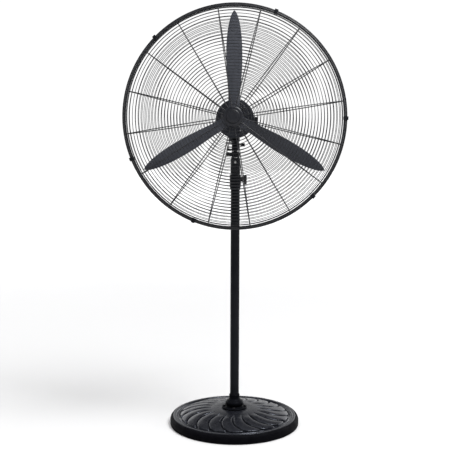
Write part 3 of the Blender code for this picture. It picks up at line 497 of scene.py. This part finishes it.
def swirl_relief(radius, across):
    """Height added to the dome: a crowned tongue between two grooves; across runs 0 to 1 between them."""
    if not SWIRL_IN_R < radius < SWIRL_OUT_R + TONGUE_GAP:
        return 0.0
    share = (radius - SWIRL_IN_R) / (SWIRL_OUT_R - SWIRL_IN_R)
    pitch = math.tau / SWIRLS * radius
    beside, beyond = min(across, 1 - across) * pitch, SWIRL_OUT_R - radius
    corner = min(TONGUE_CORNER, pitch * 0.42)
    if beside < corner and beyond < corner:
        inside = corner - math.hypot(corner - beside, corner - beyond)
    else:
        inside = min(beside, beyond)
    half = GROOVE_HALF * (0.45 + 0.55 * float(eased(share, 0.0, 0.35)))
    wall = float(eased(inside, 0.38 * half, 1.18 * half))
    depth = GROOVE_DEPTH * float(eased(share, -0.02, 0.20))
    back_up = float(eased(radius, SWIRL_OUT_R + 0.0010, SWIRL_OUT_R + TONGUE_GAP)) if beyond < 0 else 0.0
    crown = TONGUE_CROWN * (1 - (1 - min(2 * inside / pitch, 1)) ** 2) * float(eased(share, 0.02, 0.30))
    return depth * (max(wall, back_up) - 1) + crown * wall


def swirl_rows():
    """Rows of the moulded top from the hub hole to the rim, on a grid that swings with the grooves."""
    near = [0, 0.014, 0.028, 0.043, 0.058, 0.074, 0.092, 0.115, 0.145]
    between = [0.19, 0.26, 0.34, 0.42, 0.50, 0.58, 0.66, 0.74, 0.81]
    shares = near + between + [1 - at for at in reversed(near[1:])]
    fine_from = SWIRL_OUT_R - 0.018
    radii = [BORE_R, 0.045, DOME_FLAT_R, 0.070, 0.078, 0.083]
    radii += [SWIRL_IN_R + (fine_from - SWIRL_IN_R) * i / 42 for i in range(42)]
    radii += [fine_from + (SWIRL_OUT_R + TONGUE_GAP - fine_from) * i / 22 for i in range(23)]
    rows = []
    for radius in radii:
        swing = float(swirl_turn((radius - SWIRL_IN_R) / (SWIRL_OUT_R - SWIRL_IN_R)))
        row = []
        for k in range(SWIRLS):
            for across in shares:
                angle = math.tau * (k + across) / SWIRLS + swing + math.radians(SWIRL_START)
                height = float(dome_height(radius)) + swirl_relief(radius, across)
                row.append((radius * math.cos(angle), radius * math.sin(angle), height))
        rows.append(row)
    return rows, shares


def base_skin():
    """The moulded top with its swirl, groove and rim bead, closed by its own inner side."""
    rows, shares = swirl_rows()
    swing = float(swirl_turn(1)) + math.radians(SWIRL_START)
    plate_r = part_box("base_plate")[1].x
    rim = [
        (GROOVE_R - 0.0022, RIM_Z + 0.0002),
        (GROOVE_R - 0.0010, RIM_Z - 0.0030),
        (GROOVE_R + 0.0024, RIM_Z - 0.0032),
        (GROOVE_R + 0.0040, RIM_Z + 0.0012),
        (GROOVE_R + 0.0066, RIM_Z + 0.0028),
        (BEAD_OUT_R - 0.0030, RIM_Z + 0.0030),
        (BEAD_OUT_R, RIM_Z + 0.0022),
        (BEAD_OUT_R + 0.0004, RIM_Z + 0.0008),
        (plate_r - 0.0006, RIM_Z - 0.0042),
        (plate_r, RIM_Z - 0.0054),
        (plate_r, FLOOR_OF_BASE_Z),
        (plate_r - SKIN, FLOOR_OF_BASE_Z),
        (plate_r - SKIN, RIM_Z - 0.0090),
    ]
    under = [(at, float(dome_height(at)) - SKIN - UNDER_DROP) for at in (0.206, 0.16, 0.12, 0.08)]
    under += [(DOME_FLAT_R, DOME_TOP_Z - SKIN - 0.0010), (BORE_R, DOME_TOP_Z - SKIN - 0.0010)]
    for radius, height in rounded(rim, 0.0012) + under:
        rows.append([
            (radius * math.cos(math.tau * (k + across) / SWIRLS + swing),
             radius * math.sin(math.tau * (k + across) / SWIRLS + swing), height)
            for k in range(SWIRLS) for across in shares
        ])
    mesh = Shape().grid(rows, close_rows=True, close_columns=True).mesh("swirl_base", sharp=50)
    piece("swirl_base", mesh, "stand", "base_skin", BASE_SKIN, "base_plate")


def base_cement():
    """The weight bonded under the skin, with a pocket for the tube's nut."""
    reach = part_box("base_plate")[1].x - SKIN - 0.0008
    foot = FLOOR_OF_BASE_Z + 0.0012
    bore, pocket, pocket_z = 0.0175, 0.0300, 0.0520
    top = [(at, float(dome_height(at)) - SKIN - CEMENT_DROP) for at in (0.06, 0.08, 0.12, 0.16, 0.206)]
    profile = [(bore, DOME_TOP_Z - SKIN - 0.0040)] + top + [(reach, RIM_Z - 0.0112), (reach, foot)]
    profile += [(pocket, foot), (pocket, pocket_z), (bore, pocket_z)]
    lathe("cement_weight", profile, "stand", "base_skin", CEMENT, size=0.0015)


def base_band():
    """The side band: a lip over the rim, a shallow waist line and a rounded foot."""
    wall = BASE_R - 0.0054
    lip = BASE_R - 0.0135
    profile = [
        (wall, RIM_Z - 0.0052),
        (wall - 0.0008, RIM_Z - 0.0038),
        (BEAD_OUT_R + 0.0007, RIM_Z + 0.0010),
        (BEAD_OUT_R + 0.0007, RIM_Z + 0.0020),
        (BEAD_OUT_R + 0.0024, RIM_Z + 0.0021),
        (BASE_R - 0.0050, RIM_Z - 0.0006),
        (BASE_R - 0.0020, RIM_Z - 0.0044),
        (BASE_R, RIM_Z - 0.0100),
        (BASE_R, 0.0078),
        (BASE_R - 0.0006, 0.0070),
        (BASE_R - 0.0006, 0.0062),
        (BASE_R, 0.0054),
        (BASE_R, 0.0018),
        (BASE_R - 0.0016, 0),
        (lip, 0),
        (lip, 0.0182),
        (wall, 0.0182),
    ]
    lathe("base_band", profile, "stand", "rubber", RUBBER, "edge_band", steps=192, size=0.0010)


# ---- pole ----
def round_tube(name, node, radius, wall, body, look, steps):
    low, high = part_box(node)
    inner = radius - wall
    profile = [(radius, high.z), (radius, low.z), (inner, low.z), (inner, high.z)]
    lathe(name, profile, body, "black_paint", look, node, steps=steps, size=0.0004)


def pole_parts():
    round_tube("pole_tube", "lower_tube", POLE_R, 0.0018, "stand", PAINT, 72)
    round_tube("mast_tube", "inner_tube", MAST_R, 0.0015, "mast", MAST_METAL, 64)


def flange_casting():
    """The pole's foot: a flat disc, a bulb above it and a collar."""
    low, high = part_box("pole_flange")
    top = low.z + 0.0052
    bore = POLE_R + 0.0003
    profile = [
        (bore, high.z),
        (0.0186, high.z),
        (0.0198, high.z - 0.0014),
        (0.0198, high.z - 0.0040),
        (0.0193, high.z - 0.0052),
        (0.0195, low.z + 0.0362),
        (0.0212, low.z + 0.0330),
        (0.0252, low.z + 0.0296),
        (0.0304, low.z + 0.0264),
        (0.0333, low.z + 0.0222),
        (0.0335, low.z + 0.0186),
        (0.0326, low.z + 0.0142),
        (0.0306, low.z + 0.0098),
        (0.0298, low.z + 0.0072),
        (0.0312, top),
        (0.0446, top),
        (0.0462, top - 0.0008),
        (0.0470, top - 0.0024),
        (0.0470, low.z),
        (bore, low.z),
    ]
    lathe("flange_casting", profile, "stand", "black_paint", CAST_PAINT, "pole_flange", steps=128,
          size=0.0012)


# ---- guards ----
SPOKES = 16
SPOKE_TURN = 13.8
RING_PITCH = 0.0107
RING_WIRE_R = 0.00106
RIM_RING_WIRE_R = 0.0021
RIM_GAP = 0.0082
RING_SINK = 0.0008
SPOKE_WIRE_R = 0.0016
SPOKE_RISE = 0.0019
SPOKE_STEPS = 24
HOOP_WIRE_R = 0.0035
EYE_WIRE_R = 0.0024
REAR_EYE_R, REAR_FIRST_RING_R, REAR_POWER = 0.0580, 0.0700, 2.4
FRONT_EYE_R, FRONT_FIRST_RING_R, FRONT_POWER = 0.0290, 0.0400, 2.8


def dome_y(radius, reach, rim_y, centre_y, power):
    """Where the guard's dome stands along Y at this radius."""
    return centre_y + (rim_y - centre_y) * (radius / reach) ** power


def ring_path(radius, y, count):
    turns = [math.tau * i / count for i in range(count)]
    return [(radius * math.sin(t), y, HUB_Z + radius * math.cos(t)) for t in turns]


def wire_cage(name, node, reach, dome, eye_r, first_ring, side):
    """A welded guard: hoop, eye ring, fine rings at an even pitch and spokes on their outer side.

    Dome is the Y of the hoop, the Y of the eye ring and the dome's power; side is 1 for the rear guard
    and -1 for the front one.
    """
    cage = Shape()
    cage.tube(ring_path(reach, dome[0], 160), HOOP_WIRE_R, 12, closed=True)
    cage.tube(ring_path(eye_r, dome[1], 64), EYE_WIRE_R, 10, closed=True)
    steps_in = int((reach - RIM_GAP - first_ring) / RING_PITCH)
    for number in range(steps_in + 1):
        radius = reach - RIM_GAP - RING_PITCH * number
        y = dome_y(radius, reach, *dome) - side * RING_SINK
        wire = RIM_RING_WIRE_R if number == 0 and side < 0 else RING_WIRE_R
        cage.tube(ring_path(radius, y, 120), wire, closed=True)
    for number in range(SPOKES):
        turn = math.radians(SPOKE_TURN + 360 / SPOKES * number)
        path = []
        for i in range(SPOKE_STEPS + 1):
            radius = eye_r + (reach - eye_r) * i / SPOKE_STEPS
            y = dome_y(radius, reach, *dome) + side * SPOKE_RISE * (1 - (i / SPOKE_STEPS) ** 8)
            path.append((radius * math.sin(turn), y, HUB_Z + radius * math.cos(turn)))
        cage.tube(path, SPOKE_WIRE_R)
    piece(name, cage.mesh(name, sharp=60), "head", "wire_paint", WIRE, node)


def guards():
    low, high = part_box("rear_guard")
    dome = (low.y + HOOP_WIRE_R, high.y - 0.0035, REAR_POWER)
    wire_cage("rear_cage", "rear_guard", GUARD_R - HOOP_WIRE_R, dome, REAR_EYE_R, REAR_FIRST_RING_R, 1)
    low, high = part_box("front_guard")
    dome = (high.y - HOOP_WIRE_R, low.y + 0.0038, FRONT_POWER)
    wire_cage("front_cage", "front_guard", FRONT_R - HOOP_WIRE_R, dome, FRONT_EYE_R, FRONT_FIRST_RING_R,
              -1)


def back_plate():
    """The pressed disc behind the blades that holds the rear guard to the motor, with raised rings."""
    front = -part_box("guard_plate")[0].y
    back = -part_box("guard_plate")[1].y
    profile = [
        (0.0190, front - 0.0006),
        (0.0250, front - 0.0006),
        (0.0262, front),
        (0.0400, front),
        (0.0412, front - 0.0007),
        (0.0560, front - 0.0007),
        (0.0572, front),
        (0.0655, front),
        (0.0685, front - 0.0012),
        (0.0685, back),
        (0.0190, back),
    ]
    lathe("back_plate", profile, "head", "black_paint", PLATE_PAINT, "guard_plate", place=HUB,
          turn=TOWARDS_FRONT, steps=128, size=0.0007)


def badge():
    """The front disc and its cap: plain rings only."""
    low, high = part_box("front_badge")
    front, back = -low.y, -high.y
    disc = [
        (0, front - 0.0004),
        (0.0232, front - 0.0004),
        (0.0244, front),
        (0.0280, front - 0.0004),
        (0.0312, front - 0.0014),
        (0.0333, front - 0.0030),
        (0.0333, back),
        (0, back),
    ]
    lathe("badge_disc", disc, "head", "black_plastic", BADGE, "front_badge", place=HUB, turn=TOWARDS_FRONT,
          ring=False, size=0.0008)
    low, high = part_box("badge_cap")
    front, back = -low.y, -high.y
    cap = [
        (0, front - 0.0003),
        (0.0080, front - 0.0002),
        (0.0150, front),
        (0.0168, front - 0.0006),
        (0.0178, front - 0.0006),
        (0.0192, front - 0.0002),
        (0.0216, front - 0.0009),
        (0.0228, front - 0.0022),
        (0.0228, back),
        (0, back),
    ]
    lathe("badge_dome", cap, "head", "black_plastic", BADGE, "badge_cap", place=HUB, turn=TOWARDS_FRONT,
          ring=False, size=0.0008)


# ---- blades ----
BLADES = 3
BLADE_ROWS, BLADE_COLUMNS = 72, 18
BLADE_ROOT_R = 0.0130
BLADE_WAIST_R = 0.195
BLADE_HALF_W = 0.0294
BLADE_PLANE_Y = -0.138
BLADE_SKIN = 0.0021
BLADE_PITCH, BLADE_TWIST = 26, 12
RIB_HEIGHT, CURL_HEIGHT = 0.0009, 0.0022


def blade_half_width(radius):
    """Widest at the waist, narrower at the root and rounded off to the tip."""
    if radius < BLADE_WAIST_R:
        return BLADE_HALF_W * (0.62 + 0.38 * float(eased(radius, BLADE_ROOT_R, BLADE_WAIST_R)))
    share = (radius - BLADE_WAIST_R) / (BLADE_TIP_R - BLADE_WAIST_R)
    return BLADE_HALF_W * max((1 - min(share, 1) ** 2.2) ** 0.6, 0.03)


def blade_pitch(radius):
    """Flat at the root, steepest just outside the hub and flatter again towards the tip."""
    rise = BLADE_PITCH * float(eased(radius, 0.036, 0.085))
    return math.radians(rise - BLADE_TWIST * float(eased(radius, 0.10, 0.36)))


def blade_point(radius, across, face):
    """A point on the blade: across is -1 to 1 over its width, face is 1 in front and -1 behind."""
    half = blade_half_width(radius)
    pitch = blade_pitch(radius)
    body = float(eased(radius, 0.05, 0.12))
    offset = across * half
    camber = 0.06 * half * (1 - across ** 2) * body
    rib = RIB_HEIGHT * math.exp(-((across - 0.05) / 0.16) ** 2) * body
    rib *= float(eased(0.30 - radius, 0.0, 0.12))
    curl = CURL_HEIGHT * float(eased(across, 0.62, 1.0)) * body * float(eased(0.24 - radius, 0.0, 0.10))
    depth = -camber - rib + curl
    thin = BLADE_SKIN / 2 * (1 - 0.75 * abs(across) ** 6)
    depth -= face * thin
    return (
        offset * math.cos(pitch) + depth * math.sin(pitch) * 0.5,
        BLADE_PLANE_Y + offset * math.sin(pitch) + depth,
        radius,
    )


def blades():
    across = [math.sin(math.pi / 2 * (2 * j / BLADE_COLUMNS - 1)) for j in range(BLADE_COLUMNS + 1)]
    for number in range(BLADES):
        rows = []
        for i in range(BLADE_ROWS + 1):
            share = i / BLADE_ROWS
            radius = BLADE_ROOT_R + (BLADE_TIP_R - BLADE_ROOT_R) * (1 - (1 - share) ** 1.35)
            front = [blade_point(radius, part, 1) for part in across]
            behind = [blade_point(radius, part, -1) for part in reversed(across)]
            rows.append(front + behind)
        leaf = Shape().grid(rows, close_columns=True)
        width = len(rows[0])
        leaf.faces.append(tuple(range(width))[::-1])
        last = BLADE_ROWS * width
        leaf.faces.append(tuple(range(last, last + width)))
        name = f"leaf_blade_{number + 1}"
        made = bpy.data.objects.new(name, leaf.mesh(name, sharp=60))
        bpy.context.scene.collection.objects.link(made)
        made.data.materials.append(BLADE)
        made.location = HUB
        made.rotation_euler = (0, math.radians(360 / BLADES * number), 0)
        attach(made, "rotor")
        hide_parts(f"blade_{number + 1}")


# ---- motor ----
FINS = 44
FIN_RUNS = ((-0.0325, 0.0105), (0.0195, 0.0640))
FIN_STEPS = 8
FIN_HEIGHT = 0.0012
VENT_SLOTS = 24


def motor_shells():
    """Two cast halves, with slots through the rear one."""
    face = -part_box("motor_front_cover")[0].y
    profile = [
        (0.0070, face),
        (0.0160, face),
        (0.0185, face - 0.0010),
        (0.0300, face - 0.0010),
        (0.0312, face - 0.0022),
        (0.0540, face - 0.0022),
        (0.0552, face - 0.0010),
        (MOTOR_R - 0.0050, face - 0.0010),
        (MOTOR_R - 0.0014, face - 0.0040),
        (MOTOR_R - 0.0004, face - 0.0090),
        (MOTOR_R - 0.0014, face - 0.0110),
        (MOTOR_R - 0.0014, -0.0118),
        (MOTOR_R, -0.0124),
        (MOTOR_R, -0.0150),
        (MOTOR_R - 0.0040, -0.0150),
        (MOTOR_R - 0.0040, face - 0.0052),
        (0.0070, face - 0.0052),
    ]
    lathe("motor_shell_front", profile, "head", "black_paint", HEAD_PAINT, "motor_front_cover", place=HUB,
          turn=TOWARDS_FRONT, steps=144, size=0.0010)
    back = -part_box("motor_rear_cover")[1].y
    profile = [
        (MOTOR_R - 0.0030, -0.0153),
        (MOTOR_R, -0.0153),
        (MOTOR_R, -0.0180),
        (MOTOR_R - 0.0014, -0.0186),
        (MOTOR_R - 0.0014, back + 0.0200),
        (MOTOR_R - 0.0030, back + 0.0120),
        (MOTOR_R - 0.0080, back + 0.0052),
        (MOTOR_R - 0.0170, back + 0.0012),
        (MOTOR_R - 0.0240, back),
        (0.0075, back),
        (0.0075, back + 0.0035),
        (MOTOR_R - 0.0250, back + 0.0035),
        (MOTOR_R - 0.0120, back + 0.0075),
        (MOTOR_R - 0.0060, back + 0.0140),
        (MOTOR_R - 0.0046, back + 0.0210),
        (MOTOR_R - 0.0046, -0.0200),
        (MOTOR_R - 0.0030, -0.0180),
    ]
    shell = lathe("motor_shell_rear", profile, "head", "black_paint", HEAD_PAINT, "motor_rear_cover",
                  place=HUB, turn=TOWARDS_FRONT, steps=144, size=0.0010)
    slots = []
    for number in range(VENT_SLOTS):
        turn = math.tau * (number + 0.5) / VENT_SLOTS
        low = (-0.0017, -back - 0.0260, HUB_Z + MOTOR_R - 0.0115)
        high = (0.0017, -back + 0.0030, HUB_Z + MOTOR_R + 0.0020)
        slots.append(block(low, high, turn, HUB))
    carved(shell, *slots)


def barrel_fins():
    """Low cooling fins along both halves of the barrel, left out beside the box and over the cradle."""
    fins = Shape()
    base = MOTOR_R - 0.0017
    for start, end in FIN_RUNS:
        for number in range(FINS):
            turn = math.tau * (number + 0.5) / FINS
            x, z = math.sin(turn), math.cos(turn)
            beside_box = x > 0.80 and abs(z) < 0.50
            over_cradle = z < -0.90
            if beside_box or over_cradle:
                continue
            rows = []
            for k in range(FIN_STEPS + 1):
                share = k / FIN_STEPS
                y = start + (end - start) * share
                lift = FIN_HEIGHT * math.sqrt(max(1 - (2 * share - 1) ** 8, 0)) + 0.0002
                corners = ((-0.0009, 0), (-0.0005, lift), (0.0005, lift), (0.0009, 0))
                rows.append([
                    (x * (base + up) + z * side, y, HUB_Z + z * (base + up) - x * side)
                    for side, up in corners
                ])
            first = len(fins.points)
            fins.grid(rows, close_columns=True)
            last = len(fins.points) - 4
            fins.faces.append((first, first + 1, first + 2, first + 3))
            fins.faces.append((last + 3, last + 2, last + 1, last))
    piece("barrel_fins", fins.mesh("barrel_fins"), "head", "black_paint", HEAD_PAINT)


# ---- carried-over CAD nodes: better edges and materials ----
def edge_finish():
    """Geometry nodes that drop the imported normals and shade smooth up to the sharp edges."""
    group = bpy.data.node_groups.new("smooth_by_angle", "GeometryNodeTree")
    group.interface.new_socket("Geometry", in_out="INPUT", socket_type="NodeSocketGeometry")
    group.interface.new_socket("Geometry", in_out="OUTPUT", socket_type="NodeSocketGeometry")
    start, end = group.nodes.new("NodeGroupInput"), group.nodes.new("NodeGroupOutput")
    angle = group.nodes.new("GeometryNodeInputMeshEdgeAngle")
    sharp = group.nodes.new("FunctionNodeCompare")
    sharp.data_type = "FLOAT"
    sharp.operation = "GREATER_THAN"
    sharp.inputs[1].default_value = math.radians(33)
    normals = group.nodes.new("GeometryNodeSetMeshNormal")
    normals.mode = "SHARPNESS"
    group.links.new(angle.outputs["Unsigned Angle"], sharp.inputs[0])
    group.links.new(start.outputs[0], normals.inputs["Mesh"])
    group.links.new(sharp.outputs[0], normals.inputs["Edge Sharpness"])
    group.links.new(normals.outputs[0], end.inputs[0])
    return group


EDGE_FINISH = edge_finish()


def carried(look, edge, *names):
    """Gives CAD nodes a material, welded points and, where edge is not 0, bevelled edges this wide."""
    for name in names:
        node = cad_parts[name]
        node.data.materials.clear()
        node.data.materials.append(look)
        weld = node.modifiers.new("weld", "WELD")
        weld.merge_threshold = 0.00001
        if edge:
            flats = node.modifiers.new("flats", "DECIMATE")
            flats.decimate_type = "DISSOLVE"
            flats.angle_limit = math.radians(1)
            round_off = node.modifiers.new("edges", "BEVEL")
            round_off.width = edge
            round_off.segments = 2
            round_off.limit_method = "ANGLE"
            round_off.angle_limit = math.radians(38)
        node.modifiers.new("shading", "NODES").node_group = EDGE_FINISH


def carried_nodes():
    carried(PAINT, 0.0004, "height_collar", "neck_socket", "neck_stem", "motor_cradle")
    carried(HEAD_PAINT, 0.0005, "gearbox_housing", "capacitor_box")
    carried(PAINT, 0.0002, "swivel_lock", *[f"guard_clip_{i}" for i in range(1, 7)])
    carried(PLASTIC, 0.0005, "height_knob", "speed_knob", "cable_gland", "oscillation_knob", "blade_hub")
    carried(PLASTIC, 0.0002, "tilt_knob", "speed_switch")
    carried(DARK_STEEL, 0.0003, *[f"flange_bolt_{i}" for i in range(1, 5)], "tilt_bolt", "tube_nut",
            "blade_nut")
    carried(DARK_STEEL, 0.0002, *[f"guard_screw_{i}" for i in range(1, 4)], "clamp_screw")
    carried(STEEL, 0.0002, "socket_screw", "motor_shaft", "crank_disc", "drive_link", "swivel_pin")
    carried(STEEL, 0, "front_bearing", "rear_bearing")
    carried(CORE, 0, "stator", "rotor_core", "drive_worm")
    carried(BRASS, 0, "worm_wheel", "swivel_bush")
    carried(NYLON, 0, "mast_guide", "collar_bush")


# ---- stage ----
FLOOR_HALF = 60.0
FAR_TONES = ((0.90, 0.90, 0.905), (0.92, 0.92, 0.925))
NEAR_SHADE_TONE = (0.455, 0.455, 0.458)
FAR_AT, NEAR_AT = 8.0, 0.8
ROOM_GLOW, BACK_GLOW, SIDE_GLOW, CEILING_GLOW = 0.10, 0.55, 2.20, 3.05
LEFT_SHARE, RIGHT_SHARE = 0.95, 1.30
GLOSSY_CEILING = 0.19
BACKDROP = 1.05
KEY_PLACE, KEY_SIZE, KEY_POWER = (1.3, -1.0, 3.2), (1.2, 1.2), 150
FILL_PLACE, FILL_SIZE, FILL_POWER = (-2.6, -1.8, 2.4), (1.6, 2.0), 20
CAMERA_TURN = 2.2
CAMERA_DISTANCE, CAMERA_Z = 2.9, 0.987
CAMERA_DOWN, CAMERA_ROLL, CAMERA_PAN = 5.55, -0.24, 0.03
SENSOR_WIDTH, LENS = 36, 60.9


def stage_floor():
    """Pale and otherwise plain: its tone is evened out against the lamps by painted shade, darker near the
    fan where the lamps fall brightest and paler far off.
    """
    floor = Look("pale_floor", 0.85, specular=0.1)
    colour = floor.mixed(floor.clouds(1.5, 3), *FAR_TONES)
    distance = floor.node("ShaderNodeVectorMath")
    distance.operation = "LENGTH"
    floor.tree.links.new(floor.place, distance.inputs[0])
    # painted shade: the floor's colour darkens towards the fan, where the lamps light it most
    colour = floor.mixed(floor.spread(distance.outputs["Value"], FAR_AT, NEAR_AT), colour, NEAR_SHADE_TONE)
    look = floor.finish(colour)
    half = FLOOR_HALF
    corners = [(-half, -half, 0), (half, -half, 0), (half, half, 0), (-half, half, 0)]
    mesh = bpy.data.meshes.new("floor")
    mesh.from_pydata(corners, [], [(0, 1, 2, 3)])
    mesh.materials.append(look)
    floor_piece = bpy.data.objects.new("floor", mesh)
    bpy.context.scene.collection.objects.link(floor_piece)


def soft_box(name, place, target, size, power):
    data = bpy.data.lights.new(name, "AREA")
    data.shape = "RECTANGLE"
    data.size, data.size_y = size
    data.energy = power
    light = bpy.data.objects.new(name, data)
    bpy.context.scene.collection.objects.link(light)
    light.location = place
    aim = Vector(target) - Vector(place)
    light.rotation_euler = aim.to_track_quat("-Z", "Y").to_euler()


def studio():
    """The floor, a room that glows behind, at the sides and above, and two soft lamps."""
    stage_floor()
    world = bpy.data.worlds.new("studio")
    bpy.context.scene.world = world
    world.use_nodes = True
    tree = world.node_tree
    where = tree.nodes.new("ShaderNodeTexCoord")
    parts = tree.nodes.new("ShaderNodeSeparateXYZ")
    tree.links.new(where.outputs["Generated"], parts.inputs[0])

    def band(value, low, high, at_low, at_high):
        made = tree.nodes.new("ShaderNodeMapRange")
        made.interpolation_type = "SMOOTHSTEP"
        tree.links.new(value, made.inputs["Value"])
        for label, number in zip(("From Min", "From Max", "To Min", "To Max"), (low, high, at_low, at_high)):
            made.inputs[label].default_value = number
        return made.outputs["Result"]

    def joined(operation, *values):
        made = tree.nodes.new("ShaderNodeMath")
        made.operation = operation
        for value, socket in zip(values, made.inputs):
            tree.links.new(value, socket)
        return made.outputs[0]

    light_path = tree.nodes.new("ShaderNodeLightPath")
    x, y, z = (parts.outputs[axis] for axis in "XYZ")
    panels = joined("MULTIPLY", band(y, 0.0, 0.5, 0, 1), band(z, 0.34, 0.58, 1, 0))
    panels = joined("MULTIPLY", panels, band(joined("ABSOLUTE", x), 0.08, 0.42, BACK_GLOW, SIDE_GLOW))
    panels = joined("MULTIPLY", panels, band(x, -0.4, 0.4, LEFT_SHARE, RIGHT_SHARE))
    ceiling = joined("MULTIPLY", band(z, 0.66, 0.92, ROOM_GLOW, CEILING_GLOW),
                     band(light_path.outputs["Is Glossy Ray"], 0, 1, 1, GLOSSY_CEILING))
    total = joined("ADD", panels, ceiling)
    room = tree.nodes["Background"]
    tree.links.new(total, room.inputs["Strength"])
    room.inputs["Color"].default_value = (1, 1, 1, 1)
    bright = tree.nodes.new("ShaderNodeBackground")
    bright.inputs["Color"].default_value = (1, 1, 1, 1)
    bright.inputs["Strength"].default_value = BACKDROP
    mix = tree.nodes.new("ShaderNodeMixShader")
    tree.links.new(light_path.outputs["Is Camera Ray"], mix.inputs[0])
    tree.links.new(room.outputs[0], mix.inputs[1])
    tree.links.new(bright.outputs[0], mix.inputs[2])
    tree.links.new(mix.outputs[0], tree.nodes["World Output"].inputs["Surface"])
    soft_box("key", KEY_PLACE, (0, 0, 1.0), KEY_SIZE, KEY_POWER)
    soft_box("fill", FILL_PLACE, (0, 0, 0.9), FILL_SIZE, FILL_POWER)


def camera():
    """Stands a little to the fan's left and under the hub's height, and looks slightly down."""
    data = bpy.data.cameras.new("camera")
    data.sensor_width = SENSOR_WIDTH
    data.lens = LENS
    made = bpy.data.objects.new("camera", data)
    bpy.context.scene.collection.objects.link(made)
    around = math.radians(CAMERA_TURN)
    made.location = (CAMERA_DISTANCE * math.sin(around), -CAMERA_DISTANCE * math.cos(around), CAMERA_Z)
    made.rotation_euler = (
        math.radians(90 - CAMERA_DOWN),
        math.radians(CAMERA_ROLL),
        around + math.radians(CAMERA_PAN),
    )
    bpy.context.scene.camera = made
    bpy.context.scene.view_settings.view_transform = "Standard"


camera()
studio()
base_skin()
base_cement()
base_band()
pole_parts()
flange_casting()
guards()
back_plate()
badge()
blades()
motor_shells()
barrel_fins()
carried_nodes()
